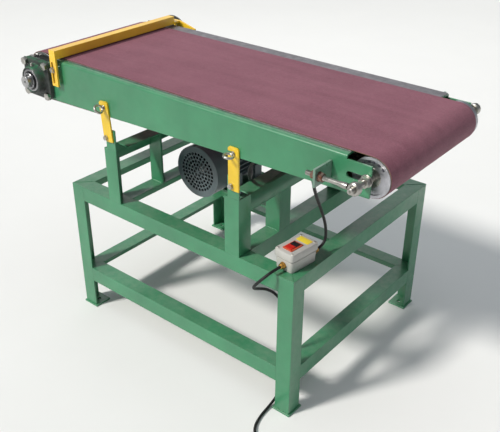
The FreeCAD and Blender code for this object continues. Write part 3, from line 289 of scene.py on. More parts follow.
def cloth_backing(name):
    """Woven backing on the inside of the belt."""
    finish = Finish(name)
    inputs = {"Vector": finish.coordinates, "Scale": 260.0}
    warp = finish.node("ShaderNodeTexWave", inputs, bands_direction="X")
    weft = finish.node("ShaderNodeTexWave", inputs, bands_direction="Y")
    weave = finish.times(warp.outputs["Fac"], weft.outputs["Fac"])
    finish.set(Base_Color=finish.mix(weave, display(112, 92, 66), display(168, 146, 112)),
               Roughness=finish.span(finish.noise(60), 0.3, 0.7, 0.75, 0.9))
    finish.bump(weave, 0.2, 0.7)
    return finish.material


GREEN = display(52, 128, 88)
greens = paint("green_enamel", GREEN)
# Paler copy of the green enamel for the tension brackets: its pale colour and silvery bare metal are a
# painted reflection, and its extra chips are wear.
worn_green_painted_reflection = paint("worn_enamel_painted_reflection", display(104, 138, 120), bare=display(176, 178, 176), roughness=0.32,
                   wear=1.6)
fence_yellow = paint("fence_enamel", display(255, 200, 42), bare=display(120, 96, 60), wear=0.5,
                     dust=display(240, 220, 170))
strap_yellow = paint("strap_enamel", display(226, 188, 22), bare=display(110, 92, 50), wear=0.9,
                     dust=display(246, 232, 170))
motor_enamel = paint("motor_enamel", display(78, 94, 98), bare=display(110, 108, 104), roughness=0.46,
                     dust=display(120, 118, 108))
turned_steel = steel("turned_steel", display(188, 188, 188), 0.3, brushed=(1, 0.05, 1))
idler_steel = steel("idler_steel", display(196, 196, 202), 0.4, rust=0.08, grain=420, centre=IDLER)
drive_steel = steel("drive_steel", display(150, 151, 154), 0.34, rust=0.1, grain=420, centre=DRIVE)
plated_steel = steel("plated_steel", display(190, 188, 182), 0.3, rust=0.35)
insert_steel = steel("insert_steel", display(158, 158, 160), 0.3, rust=0.25, grain=600, centre=DRIVE)
rusty_steel = steel("rusty_steel", display(150, 138, 128), 0.42, rust=0.95)
platen_steel = steel("platen_steel", display(160, 156, 160), 0.45, rust=0.15, brushed=(0.04, 1, 1))
black_cast = casting("black_cast", display(66, 70, 68), overspray=shade(GREEN, 0.6))
grey_cast = casting("grey_cast", display(96, 98, 98))
abrasive = grit("abrasive")
backing = cloth_backing("belt_backing")
grey_plastic = plastic("grey_plastic", display(182, 181, 176), 0.42)
red_plastic = plastic("red_plastic", display(196, 38, 30), 0.28)
orange_plastic = plastic("orange_plastic", display(206, 92, 62), 0.34)
black_plastic = plastic("black_plastic", display(30, 30, 33), 0.3)
label_yellow = plastic("label_yellow", display(236, 214, 64), 0.34, spark=300, depth=0.03)
brass = steel("brass", display(198, 152, 78), 0.28, rust=0.12)
sheath = plastic("cable_sheath", display(15, 15, 16), 0.55, mottle=0.2, spark=420, depth=0.12)
belt_rubber = plastic("belt_rubber", display(34, 33, 32), 0.66, mottle=0.25, spark=500, depth=0.2)


# ---------------------------------------------------------------- mesh helpers
def piece(name, points, faces, material, body, slot=None, replaces=(), sharp=35):
    """A mesh piece that rides on a CAD body, with smooth faces and its edges sharp beyond an angle."""
    mesh = bpy.data.meshes.new(name)
    mesh.from_pydata([tuple(p) for p in points], [], faces)
    mesh.validate()
    tidy = bmesh.new()
    tidy.from_mesh(mesh)
    bmesh.ops.remove_doubles(tidy, verts=tidy.verts, dist=1e-7)
    bmesh.ops.recalc_face_normals(tidy, faces=tidy.faces)
    limit = math.radians(sharp)
    for edge in tidy.edges:
        edge.smooth = edge.is_manifold and edge.calc_face_angle(0) < limit
    for face in tidy.faces:
        face.smooth = True
    tidy.to_mesh(mesh)
    tidy.free()
    made = bpy.data.objects.new(name, mesh)
    bpy.context.scene.collection.objects.link(made)
    mesh.materials.append(material)
    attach(made, body)
    if replaces:
        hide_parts(*replaces)
    return made


class Shape:
    """Points and faces gathered from several simple solids, so that they make one piece.

    Places are points of the frame, as at() gives them; sizes are in millimetres.
    """

    def __init__(self):
        self.points = []
        self.faces = []

    def add(self, points, faces):
        start = len(self.points)
        self.points += [Vector(p) for p in points]
        self.faces += [tuple(i + start for i in face) for face in faces]
        return self

    def rings(self, rings, closed=False):
        """Skin a list of equal rings of points; closed joins the last to the first, else both are capped."""
        count = len(rings[0])
        faces = []
        for row in range(len(rings) - (0 if closed else 1)):
            following = (row + 1) % len(rings)
            for i in range(count):
                j = (i + 1) % count
                faces.append((row * count + i, row * count + j, following * count + j, following * count + i))
        if not closed:
            faces.append(tuple(range(count)))
            faces.append(tuple(range((len(rings) - 1) * count, len(rings) * count)))
        return self.add([p for ring in rings for p in ring], faces)

    def lathe(self, profile, centre, axis, segments=64, closed=False):
        """Turn a profile of (radius, distance along the axis) about an axis; closed joins its two ends."""
        across, up = square_to(axis)
        rings = [[centre + (axis * along + (across * math.cos(t) + up * math.sin(t)) * radius) * MM
                  for t in turn_angles(segments)] for radius, along in profile]
        return self.rings(rings, closed)

    def sweep(self, path, radius, segments=16, closed=False):
        """Round bar along a path of points; radius may be a number or one number for each point."""
        count = len(path)
        rings = []
        up = None
        for i, point in enumerate(path):
            before = path[i - 1] if i or closed else path[i]
            after = path[(i + 1) % count] if i < count - 1 or closed else path[i]
            along = (after - before).normalized()
            up = square_to(along)[1] if up is None else (up - along * up.dot(along)).normalized()
            side = along.cross(up)
            size = (radius[i] if isinstance(radius, list) else radius) * MM
            rings.append([point + (side * math.cos(t) + up * math.sin(t)) * size
                          for t in turn_angles(segments)])
        return self.rings(rings, closed)

    def hexagon(self, centre, axis, flats, thickness, bore=0.0, turn=0.0):
        """Nut or bolt head: hexagon with both faces chamfered, bored through when a bore is given."""
        across, up = square_to(axis)
        apothem = flats / 2
        chamfer = apothem * 0.97
        inner = max(bore, apothem * 0.02)
        slope = math.tan(math.radians(30))

        def ring(radius_at, depth_at):
            out = []
            for t in turn_angles(48):
                radius = radius_at(t)
                direction = across * math.cos(t + turn) + up * math.sin(t + turn)
                out.append(centre + (axis * depth_at(radius) + direction * radius) * MM)
            return out

        def side(t):
            return apothem / math.cos((t % (math.pi / 3)) - math.pi / 6)

        rings = [
            ring(lambda t: inner, lambda r: 0.0),
            ring(lambda t: chamfer, lambda r: 0.0),
            ring(side, lambda r: (r - chamfer) * slope),
            ring(side, lambda r: thickness - (r - chamfer) * slope),
            ring(lambda t: chamfer, lambda r: thickness),
            ring(lambda t: inner, lambda r: thickness),
        ]
        return self.rings(rings, closed=bore > 0)

    def thread(self, start, axis, radius, length, pitch, segments=24, steps=6):
        """Threaded bar: the radius rises and falls along a helix."""
        across, up = square_to(axis)
        depth = pitch * 0.55
        rings = []
        for row in range(int(length / pitch * steps) + 1):
            along = row * pitch / steps
            ring = []
            for t in turn_angles(segments):
                phase = (along / pitch - t / (2 * math.pi)) % 1.0
                reach = radius - depth * (1 - abs(2 * phase - 1))
                ring.append(start + (axis * along + (across * math.cos(t) + up * math.sin(t)) * reach) * MM)
            rings.append(ring)
        return self.rings(rings)

    def piece(self, name, material, body, **options):
        return piece(name, self.points, self.faces, material, body, **options)


def turn_angles(count):
    return [2 * math.pi * i / count for i in range(count)]


def square_to(axis):
    """Two directions square to an axis and to each other."""
    helper = Z if abs(axis.z) < 0.9 else X
    across = helper.cross(axis).normalized()
    return across, axis.cross(across).normalized()


def rounded_outline(width, length, corner, steps=6):
    """Points round a rectangle with rounded corners, about its middle."""
    half_x, half_y = width / 2 - corner, length / 2 - corner
    return [(sign_x * half_x + corner * math.cos(t), sign_y * half_y + corner * math.sin(t))
            for quarter, (sign_x, sign_y) in enumerate(((1, 1), (-1, 1), (-1, -1), (1, -1)))
            for t in (math.pi / 2 * (quarter + step / steps) for step in range(steps + 1))]


def rounded_slab(shape, foot, axes, size, corner, bevel):
    """Block that stands on a point, with rounded upright corners and softened rims."""
    along, across, up = axes
    width, length, height = size

    def outline(inset, level):
        rounded = max(corner - inset, 0.2)
        points = rounded_outline(width - 2 * inset, length - 2 * inset, rounded)
        return [foot + (along * x + across * y + up * level) * MM for x, y in points]

    quarter = [(math.cos(math.pi / 6 * step), math.sin(math.pi / 6 * step)) for step in range(4)]
    lower = [outline(bevel * (1 - s), bevel * (1 - c)) for c, s in quarter]
    upper = [outline(bevel * (1 - c), height - bevel * (1 - s)) for c, s in quarter]
    return shape.rings(lower + upper)


def soften(node, width, material):
    """Keep a CAD node's shape, round its sharp edges a little and give it its finish."""
    item = frame["nodes"][node]
    item.data.materials.clear()
    item.data.materials.append(material)
    weld = item.modifiers.new("weld", "WELD")
    weld.merge_threshold = 1e-5
    flat = item.modifiers.new("flat", "DECIMATE")
    flat.decimate_type = "DISSOLVE"
    flat.angle_limit = math.radians(0.5)
    bevel = item.modifiers.new("bevel", "BEVEL")
    bevel.width = width * MM
    bevel.segments = 2
    bevel.limit_method = "ANGLE"
    bevel.angle_limit = math.radians(38)
    bevel.use_clamp_overlap = True
    normals = item.modifiers.new("normals", "WEIGHTED_NORMAL")
    normals.keep_sharp = False


# Each kept node's softened edge in millimetres, and its finish
KEPT = {
    "legs": (0.9, greens), "foot_plates": (0.9, greens), "motor_plate": (0.9, greens),
    "portal_left": (0.9, greens), "portal_right": (0.9, greens), "side_plate_front": (0.6, greens),
    "side_plate_rear": (0.6, greens), "bed_ties": (0.8, greens),
    "tension_brackets": (1, worn_green_painted_reflection),
    "fence_bar": (1.2, fence_yellow), "fence_plates": (0.8, fence_yellow),
    "strap_left": (0.9, strap_yellow), "strap_right": (0.9, strap_yellow),
    "platen": (0.4, platen_steel), "motor_frame": (0.5, motor_enamel),
    "motor_end_shields": (1.2, motor_enamel), "terminal_box": (2, motor_enamel),
    "fan_cowl": (0.5, motor_enamel), "cooling_fan": (0.5, black_plastic),
    "motor_shaft": (0.6, turned_steel), "drive_shaft": (1.2, turned_steel),
    "drive_drum": (1, drive_steel), "idler_drum": (0.6, idler_steel),
    "idler_bearings": (0.6, plated_steel),
    "drive_pulley": (0.8, grey_cast), "motor_pulley": (0.8, grey_cast), "v_belt": (0.8, belt_rubber),
    "stop_button": (1.4, red_plastic), "start_button": (1.4, black_plastic),
    "contact_block": (1, black_plastic), "lead_clips": (0.6, plated_steel),
}
KEPT.update({f"{kind}_{side}": (0.9, greens) for kind in ("top_rail", "stretcher")
             for side in ("front", "right", "rear", "left")})
for node, (width, material) in KEPT.items():
    soften(node, width, material)


# ---------------------------------------------------------------- sanding belt
BELT_NEAR, BELT_FAR = 19.4, 439.6
BELT_LINES = (125, 230, 335)
DRIVE_RADIUS, IDLER_RADIUS = 72.3, 48.8


def belt_line(outset):
    """Points round both drums and along the two straight runs between them."""
    line = IDLER - DRIVE
    lean = math.atan2(line.z, line.x)
    spread = math.acos((DRIVE_RADIUS - IDLER_RADIUS) / line.length)

    def arc(centre, radius, first, last, steps=40):
        angles = (first + (last - first) * step / steps for step in range(steps + 1))
        return [centre + Vector((math.cos(t), 0, math.sin(t))) * (radius + outset) for t in angles]

    def run(start, end, steps=60):
        return [start.lerp(end, step / steps) for step in range(1, steps)]

    round_idler = arc(IDLER, IDLER_RADIUS, lean + spread, lean - spread)
    round_drive = arc(DRIVE, DRIVE_RADIUS, lean - spread, lean + spread - 2 * math.pi)
    return (round_idler + run(round_idler[-1], round_drive[0])
            + round_drive + run(round_drive[-1], round_idler[0]))


def belt_layer(name, inside, outside, material):
    """One layer of the belt, its edges a little uneven where they were slit and have worn."""
    rings = []
    for low, high in zip(belt_line(inside), belt_line(outside)):
        ragged = 0.35 * noise.noise(high * 0.11)
        section = [(low, BELT_NEAR), (high, BELT_NEAR)] + [(high, y) for y in BELT_LINES]
        section += [(high, BELT_FAR), (low, BELT_FAR)] + [(low, y) for y in reversed(BELT_LINES)]
        rings.append([at(p.x, y + ragged, p.z) for p, y in section])
    Shape().rings(rings, closed=True).piece(name, material, "frame", slot="abrasive",
                                            replaces=["sanding_belt"], sharp=50)


belt_layer("belt_grit", 0.95, 1.8, abrasive)
belt_layer("belt_cloth", 0.0, 0.93, backing)


# ---------------------------------------------------------------- bearings and bolts
# The face that each flange bearing stands on, and which way along Y it looks
BEARING_SEATS = {"front": (0, -1), "rear": (492, 1)}
FLANGE_HOLES = [(x, z) for x in (-46, 46) for z in (-46, 46)]
HOUSING_BORE = 34.1


def rounded_square(t, half, corner):
    """Distance from the centre to the outline of a square with rounded corners."""
    c, s = abs(math.cos(t)), abs(math.sin(t))
    reach = half / max(c, s)
    flat = half - corner
    if min(c, s) * reach > flat:
        dot = flat * (c + s)
        reach = dot + math.sqrt(max(0.0, dot * dot - 2 * flat * flat + corner * corner))
    return reach


def flange_bearing(name, face_y, outward):
    """Four-bolt cast housing: dished square flange, domed boss, corner pads and a grease nipple."""
    axis = Y * outward
    centre = at(DRIVE.x, face_y, DRIVE.z)
    across, up = square_to(axis)
    housing = Shape()

    def ring(radius_at, depth):
        return [centre + (axis * depth + (across * math.cos(t) + up * math.sin(t)) * radius_at(t)) * MM
                for t in turn_angles(96)]

    flange = [(57.6, 17, 0), (58.5, 18, 1), (58.4, 18, 9), (57.2, 17, 12.6), (55, 16, 13.8)]
    boss = [(50, 14), (46.5, 14.6), (44.6, 17), (43.2, 24), (41.6, 33), (40, 36.6), (37.5, 38), (35.4, 37.4),
            (HOUSING_BORE, 35.6)]
    rings = [ring(lambda t: HOUSING_BORE, 0)]
    for half, corner, depth in flange:
        rings.append(ring(lambda t: rounded_square(t, half, corner), depth))
    for radius, depth in boss:
        rings.append(ring(lambda t: radius, depth))
    housing.rings(rings, closed=True)
    for x, z in FLANGE_HOLES:
        pad = centre + Vector((x, 12 * outward, z)) * MM
        housing.lathe([(0.1, 0), (12.5, 0), (12, 1.6), (11.2, 2), (0.1, 2)], pad, axis, 32)
    housing.piece(name, black_cast, "frame", slot="cast_iron", replaces=[name], sharp=40)
    nipple = [(0.1, 0), (4.4, 0), (4.4, 5.5), (2.9, 6), (2.6, 8.5), (3.2, 9.5), (3.2, 10.6), (1.8, 12),
              (0.1, 12)]
    Shape().lathe(nipple, at(DRIVE.x, face_y + outward * 27, DRIVE.z + 38), Z, 20).piece(
        name + "_nipple", plated_steel, "frame", slot="zinc_steel")


def bearing_inserts():
    """Outer ring, rubber seal, and inner ring with its locking collar, in both housings."""
    outer = [(24.2, 6), (34, 6), (34, 36.6), (33, 37.4), (28.5, 37.8), (27.6, 37), (27.6, 31), (24.2, 31)]
    inner = [(17.6, 6), (22.6, 6), (22.6, 36), (23.6, 36.4), (24.1, 37.2), (24.1, 43), (23.2, 44), (19, 44),
             (17.6, 42.8)]
    seal = [(23, 34), (27.5, 34), (27.5, 36.2), (26.4, 36.8), (24.6, 36.2), (23, 35.6)]
    set_screw = [(0.1, 0), (2.2, 0), (2.2, 0.5), (1.2, 0.5), (0.1, 0.2)]
    rings, seals = Shape(), Shape()
    for face_y, outward in BEARING_SEATS.values():
        centre, axis = at(DRIVE.x, face_y, DRIVE.z), Y * outward
        rings.lathe(outer, centre, axis, 72, closed=True)
        rings.lathe(inner, centre, axis, 72, closed=True)
        seals.lathe(seal, centre, axis, 72, closed=True)
        for t in (0.9, 3.0):
            aside = Vector((math.cos(t), 0, math.sin(t)))
            rings.lathe(set_screw, centre + (axis * 40.5 + aside * 24) * MM, aside, 16)
    rings.piece("insert_rings", insert_steel, "frame", slot="bright_steel", replaces=["bearing_inserts"])
    seals.piece("insert_seals", black_plastic, "frame", slot="black_plastic")


def washer(shape, centre, axis, bore, radius, thickness, edge=0.25, rim=0.4, segments=32):
    """Flat ring with chamfered outer edges; a bore under 1 mm is closed off."""
    profile = [(bore, 0), (radius - edge, 0), (radius, rim), (radius, thickness - rim),
               (radius - edge, thickness), (bore, thickness)]
    return shape.lathe(profile, centre, axis, segments, closed=bore > 1)


# Bolt sizes: across the flats, height of the head, height of the nut, radius of the shank
M14 = (20.8, 8.8, 9, 6.9)
M10 = (15, 7, 8, 4.9)
M8 = (13, 5.2, 6.5, 3.95)


def bolt(shape, seat, axis, size, reach, nut_at=None):
    """Bolt whose head backs onto its seat; its shank reaches along the axis and may carry a nut."""
    flats, head, nut, radius = size
    turn = rng.uniform(0, math.pi / 3)
    shape.hexagon(seat - axis * head * MM, axis, flats, head, turn=turn)
    shape.thread(seat, axis, radius, reach, pitch=1.4, segments=16, steps=4)
    if nut_at is not None:
        turn = rng.uniform(0, math.pi / 3)
        shape.hexagon(seat + axis * nut_at * MM, axis, flats, nut, radius * 0.86, turn)


def frame_bolts():
    """Bolts of both flange bearings, of the rear side plate and of the motor's feet."""
    bolts = Shape()
    for x, z in FLANGE_HOLES:
        for seat_y, axis in ((-14, Y), (506, -Y)):
            bolt(bolts, at(DRIVE.x + x, seat_y, DRIVE.z + z), axis, M14, 30, nut_at=19)
    for x in (200, 663):
        for z in (810, 780):
            bolt(bolts, at(x, 497, z), -Y, M14, 21, nut_at=10)
    for x in (247, 407):
        for y in (348, 448):
            bolt(bolts, at(x, y, 432), -Z, M10, 26, nut_at=18)
    bolts.piece("frame_bolt_set", plated_steel, "frame", slot="zinc_steel", replaces=["frame_bolts"])


for side, (face_y, outward) in BEARING_SEATS.items():
    flange_bearing(f"bearing_housing_{side}", face_y, outward)
bearing_inserts()
frame_bolts()


# ---------------------------------------------------------------- idler shaft and belt tensioner
ROD_Y = {"front": -50, "rear": 542}


def idler_axle():
    """Stepped shaft with chamfered ends, centre drillings, collars and a nut each side."""
    axle = Shape()
    profile = [(0.1, 3.5), (2.2, 0.8), (2.4, 0), (6.6, 0), (7.8, 1.2), (7.8, 75.5), (9.95, 76), (9.95, 556),
               (7.8, 556.5), (7.8, 630.8), (6.6, 632), (2.4, 632), (2.2, 631.2), (0.1, 628.5)]
    axle.lathe(profile, at(IDLER.x, -70, IDLER.z), Y, 40)
    for nut_y, collar_y in ((-17, -4), (497, 493)):
        axle.hexagon(at(IDLER.x, nut_y, IDLER.z), Y, 24.2, 12, 7.9, turn=0.2)
        washer(axle, at(IDLER.x, collar_y, IDLER.z), Y, 7.9, 15, 3, edge=0.6, rim=0.6, segments=40)
    axle.piece("idler_axle", plated_steel, "carriage", slot="zinc_steel", replaces=["idler_shaft"])


def tension_screws():
    """Screwed rods ending in forged eyes that hold the idler shaft."""
    neck = [(0.1, 0), (5.4, 0), (5.6, 1), (5.6, 24), (6.6, 30), (8, 42), (7.4, 48), (0.1, 49)]
    eye = [(8, -7.2), (9, -7.9), (13.4, -7.9), (15.2, -6.4), (15.95, -3.6), (15.95, 3.6), (15.2, 6.4),
           (13.4, 7.9), (9, 7.9), (8, 7.2)]
    screws = Shape()
    for y in ROD_Y.values():
        screws.thread(at(925.5, y, IDLER.z), X, 5.95, 62, pitch=1.75)
        screws.lathe(neck, at(986, y, IDLER.z), X, 28)
        screws.lathe(eye, at(IDLER.x, y, IDLER.z), Y, 48, closed=True)
    screws.piece("tension_screws", plated_steel, "carriage", slot="zinc_steel", replaces=["tension_rods"])


def nut_and_washer(nut_x, washer_x, y):
    """Rod nut and its washer, on the line of a tension screw."""
    pair = Shape()
    pair.hexagon(at(nut_x, y, IDLER.z), X, 18.9, 10, 6.05, turn=0.35)
    return washer(pair, at(washer_x, y, IDLER.z), X, 6.1, 11.95, 2)


def rod_nuts():
    """Lock nuts on the frame's side of each bracket and adjusting nuts on the drum's side."""
    locks = Shape()
    for side, y in ROD_Y.items():
        lock = nut_and_washer(942, 952, y)
        locks.add(lock.points, lock.faces)
        nut_and_washer(962.2, 960.2, y).piece(
            f"adjuster_{side}", rusty_steel, f"nut_{side}", slot="zinc_steel",
            replaces=[f"adjusting_nut_{side}"])
    locks.piece("lock_nut_pair", rusty_steel, "frame", slot="zinc_steel", replaces=["lock_nuts"])


idler_axle()
tension_screws()
rod_nuts()


# ---------------------------------------------------------------- straps, eye bolts and fence bolts
def eye_bolt(side, roll):
    """Forged ring on a screwed shank with a collar; roll is the ring's turn about the shank, in degrees."""
    x, _, z = middle(f"eye_bolt_{side}")
    eye = Shape()
    across = Vector((math.cos(math.radians(roll)), 0, -math.sin(math.radians(roll))))
    hub = at(x, -22.8, z)
    ring = [hub + (across * math.cos(t) + Y * math.sin(t)) * 12 * MM for t in turn_angles(48)]
    eye.sweep(ring, 3.45, 16, closed=True)
    neck = [(0.1, -10.6), (4.6, -10.6), (4.1, -8.8), (4.1, -7.4), (6.6, -7.4), (6.95, -7), (6.95, -5.8),
            (6.6, -5.5), (3.9, -5.5), (3.9, 4.6), (0.1, 4.6)]
    eye.lathe(neck, at(x, 0, z), Y, 28)
    eye.thread(at(x, 4.4, z), Y, 3.95, 8.4, pitch=1.25, segments=16)
    eye.piece(f"forged_eye_{side}", plated_steel, f"eye_{side}", slot="zinc_steel",
              replaces=[f"eye_bolt_{side}"])


def strap_bolts():
    """Each strap's pivot bolt with its washer, and the nut behind each eye bolt."""
    small = Shape()
    for side in ("left", "right"):
        x, _, z = middle(f"eye_bolt_{side}")
        pivot = axis_of(f"strap_{side}_swing")
        seat = at(pivot.x, -7.1, pivot.z)
        small.hexagon(at(x, 5, z), Y, 13, 6.5, 4.02, turn=0.4)
        small.lathe([(0.1, 0), (7.7, 0), (7.95, 0.3), (7.95, 1.5), (0.1, 1.55)], seat, Y, 32)
        bolt(small, seat, Y, M8, 20, nut_at=12.1)
    small.piece("strap_bolts", plated_steel, "frame", slot="zinc_steel", replaces=["strap_pins"])


def fence_bolts():
    """Clamp bolt, washer and spacer at each end of the fence."""
    x, z = -5, 832
    flats, _, nut, radius = M8
    clamps = Shape()
    for head_y, washer_y, inward, spacer_y in ((-17.2, -17.2, Y, -8.8), (509.2, 507.2, -Y, 492.1)):
        washer(clamps, at(x, washer_y, z), Y, 0.1, 8.95, 2)
        clamps.lathe([(0.1, 0), (7.9, 0), (7.9, 8.6), (0.1, 8.6)], at(x, spacer_y, z), Y, 32)
        bolt(clamps, at(x, head_y, z), inward, (flats, 5.4, nut, radius), 28)
    clamps.piece("fence_bolts", plated_steel, "frame", slot="zinc_steel", replaces=["fence_clamps"])


eye_bolt("left", 48)
eye_bolt("right", 8)
strap_bolts()
fence_bolts()


# ---------------------------------------------------------------- push-button box
BOX_FOOT = (820, 77, 460)
BOX_TURN = Matrix.Rotation(math.radians(-6.5), 3, "Z")
BOX_AXES = (BOX_TURN @ X, BOX_TURN @ Y, Z)
BUTTONS_Y = -14.5


def box_at(x, y, z):
    """Point of the button box, in millimetres from the middle of its underside."""
    return at(*BOX_FOOT) + (BOX_AXES[0] * x + BOX_AXES[1] * y + BOX_AXES[2] * z) * MM


def box_outline(width, length, corner, z, middle_y=0.0):
    return [box_at(x, middle_y + y, z) for x, y in rounded_outline(width, length, corner)]


def box_shells():
    """Moulded case, and the lid that overhangs it, with an opening for the buttons."""
    case = [(53, 91, 6, 0), (57, 95, 7.5, 0.8), (58, 96, 8, 2.6), (59.8, 97.8, 8, 32.4),
            (56.4, 94.4, 6.6, 33.2), (56.4, 94.4, 6.6, 36.8), (54.2, 92.2, 5.4, 36.8), (53.4, 91.4, 5, 3.4)]
    Shape().rings([box_outline(*row) for row in case]).piece(
        "box_case", grey_plastic, "frame", slot="box_plastic", replaces=["switch_case"])
    opening = [(27, 40, 1.2, 55.2, BUTTONS_Y), (27, 40, 1.2, 57.8, BUTTONS_Y)]
    lid = [(59, 97, 5, 57.9), (62.6, 100.6, 7, 57.2), (64.6, 102.6, 8, 55.4), (65.4, 103.4, 8.4, 52.5),
           (65.9, 103.9, 8.6, 38), (65.4, 103.4, 8.4, 37.1), (60.4, 98.4, 6.4, 37.1), (59.4, 97.4, 6, 54.6)]
    Shape().rings([box_outline(*row) for row in opening + lid], closed=True).piece(
        "box_lid", grey_plastic, "frame", slot="box_plastic", replaces=["switch_lid"])


def box_trim():
    """Orange bezel round the buttons, a blank label and the lid's four screws."""
    bezel = Shape()
    for x, y, width, length in ((-13.8, BUTTONS_Y, 4.4, 46), (13.8, BUTTONS_Y, 4.4, 46), (0, -35.2, 31, 4.8),
                                (0, 6.2, 31, 5.2), (0, BUTTONS_Y, 25, 1.8)):
        rounded_slab(bezel, box_at(x, y, 57.4), BOX_AXES, (width, length, 3), min(width, length) * 0.3, 0.5)
    bezel.piece("button_bezel", orange_plastic, "frame", slot="red_plastic")
    label = rounded_slab(Shape(), box_at(0, 30, 57.7), BOX_AXES, (42, 22, 0.7), 2, 0.2)
    label.piece("box_label", label_yellow, "frame", slot="yellow_paint")
    screw = [(0.1, 0), (3.3, 0), (3.3, 0.7), (2.7, 1.4), (1.1, 1.5), (0.9, 0.6), (0.1, 0.5)]
    screws = Shape()
    for x in (-24.5, 24.5):
        for y in (-43.5, 43.5):
            screws.lathe(screw, box_at(x, y, 57.4), Z, 24)
    screws.piece("box_screws", plated_steel, "frame", slot="zinc_steel")


def glands():
    """Brass gland at each end of the box: a hexagon and a domed cap round the lead."""
    cap = [(4.05, 6), (8, 6), (8, 8.4), (7.7, 8.8), (7.7, 10.6), (7, 12.6), (5.6, 13.8), (4.05, 14)]
    pair = Shape()
    for x, face_y, z, side in ((1, -49, 17, -1), (18, 49, 25, 1)):
        axis = BOX_AXES[1] * side
        root = box_at(x, face_y, z)
        pair.hexagon(root, axis, 17.6, 6.4, 4.1)
        pair.lathe(cap, root, axis, 36, closed=True)
    pair.piece("gland_pair", brass, "frame", slot="gland_brass", replaces=["cable_glands"])


box_shells()
box_trim()
glands()


# ---------------------------------------------------------------- leads
# Diameter of both leads; their routes are the CAD model's
LEAD = 8.0
SUPPLY_ROUTE = [
    (813.9, 14.3, 477), (811, -11, 476.5), (804, -34, 468), (789, -44, 449), (771, -40, 426),
    (759, -24, 405), (754, 2, 389), (758, 28, 376), (768, 50, 358), (783, 63, 334), (795, 68, 303),
    (801, 70, 262), (804, 68, 212), (804, 70, 162), (805, 71, 116), (805, 68, 76), (805, 52, 40),
    (806, 24, 14), (807, -18, 4.9), (812, -60, 4.5), (825, -99, 4.5), (850, -124, 4.5), (882, -131.6, 4.4),
]
MOTOR_ROUTE = [
    (845, 137.6, 485), (846.4, 152, 486), (847.5, 165, 494), (848, 171, 510), (848, 169, 534),
    (852, 154, 567), (859, 130, 602), (869, 101, 640), (880, 71, 675), (892, 44, 706), (902, 21, 733),
    (904, 12, 757), (893, 11.5, 781), (867, 13.5, 792), (828, 16, 793), (788, 14, 786), (751, 16, 769),
    (721, 13, 746), (696, 31, 712), (673, 61, 675), (656, 88, 646), (628, 120, 634), (600, 158, 615),
    (565, 205, 592), (527, 251, 575), (489, 298, 569), (456, 341, 575), (431, 375, 588), (408, 400, 601),
    (385, 407, 607),
]
COIL_X, COIL_Y = 900, -184
COIL_RADIUS, COIL_LEVEL, COIL_TURNS = 52, 4.2, 7.5
POINTS_PER_TURN = 24
ARC = 40 / 360
ASIDE, ABOVE = 8.3, 8.1
# How the winding moves over: in which turn, where in that turn the move ends, and its step outwards and up
COIL_MOVES = (
    (0, 1, -ASIDE, 0), (1, 1, -ASIDE, 0), (2, 1 - ARC, 0, ABOVE), (3, 1 - 2 * ARC, ASIDE, 0),
    (4, 1 - 2 * ARC, ASIDE, 0), (5, 1 - 3 * ARC, 0, ABOVE), (5, 1 - 2 * ARC, -ASIDE, 0), (7, 0.5, ASIDE, 0),
)
PLUG_Y = -236


def coil_points():
    """Spare lead wound clockwise in three layers; it steps inwards, up, outwards and up again in turn."""
    swell = 8 / (6 + 2 * math.cos(2 * math.pi / POINTS_PER_TURN))
    points = []
    for step in range(int(COIL_TURNS * POINTS_PER_TURN)):
        turns = (step + 0.35) / POINTS_PER_TURN
        radius, level = COIL_RADIUS, COIL_LEVEL
        for index, ends_at, outwards, upwards in COIL_MOVES:
            done = min(1, max(0, (turns - index - ends_at + ARC) / ARC))
            eased = done * done * (3 - 2 * done)
            radius += outwards * eased
            level += upwards * eased
        t = math.pi / 2 - 2 * math.pi * turns
        points.append((COIL_X + radius * swell * math.cos(t), COIL_Y + radius * swell * math.sin(t), level))
    return points


def lead(name, route):
    """Round lead along a spline through the route; returns the object and its length."""
    curve = bpy.data.curves.new(name, "CURVE")
    curve.dimensions = "3D"
    spline = curve.splines.new("NURBS")
    spline.points.add(len(route) - 1)
    for point, place in zip(spline.points, route):
        point.co = (*at(*place), 1)
    spline.order_u = 3
    spline.use_endpoint_u = True
    spline.resolution_u = 6
    made = bpy.data.objects.new(name, curve)
    bpy.context.scene.collection.objects.link(made)
    bpy.context.view_layer.update()
    line = made.to_mesh()
    ends = [[line.vertices[index].co for index in edge.vertices] for edge in line.edges]
    length = sum((start - end).length for start, end in ends)
    made.to_mesh_clear()
    curve.bevel_depth = LEAD / 2 * MM
    curve.bevel_resolution = 5
    curve.use_fill_caps = True
    curve.materials.append(sheath)
    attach(made, "frame")
    return made, length


def plug():
    """Moulded rubber plug: gripped body, ribbed strain relief and three flat pins."""
    grip = [(0.1, 0), (14.6, 0), (15.8, 0.8), (16.4, 2.4), (16.9, 5), (16.9, 9)]
    for along in (10 + rib * 4.6 for rib in range(6)):
        grip += [(16.9, along), (15.5, along + 1), (15.5, along + 2.6), (16.9, along + 3.6)]
    grip += [(16.7, 39), (15.4, 44), (12.6, 48), (10, 50)]
    relief = [(10, 49)]
    for rib in range(6):
        along, high = 50 + rib * 5, 9.8 - rib * 0.72
        low = high - 1.5
        relief += [(high, along), (high, along + 2.6), (low, along + 3.1), (low, along + 4.6)]
    relief += [(5.6, 80.5), (5.2, 82), (4.02, 82)]
    body = Shape().lathe(grip, at(798, PLUG_Y, 17), X, 56).lathe(relief, at(798, PLUG_Y, 18.9), X, 40)
    made = body.piece("plug_body", black_plastic, "frame", slot="black_plastic", replaces=["supply_plug"])
    pins = Shape()
    for y, z, width, height in ((-6, 4, 1.6, 6.4), (6, 4, 1.6, 6.4), (0, -7, 6.4, 1.6)):
        rounded_slab(pins, at(799, PLUG_Y + y, 17 + z), (Y, Z, -X), (width, height, 18.8), 0.6, 0.4)
    return [made, pins.piece("plug_pins", brass, "frame", slot="gland_brass")]


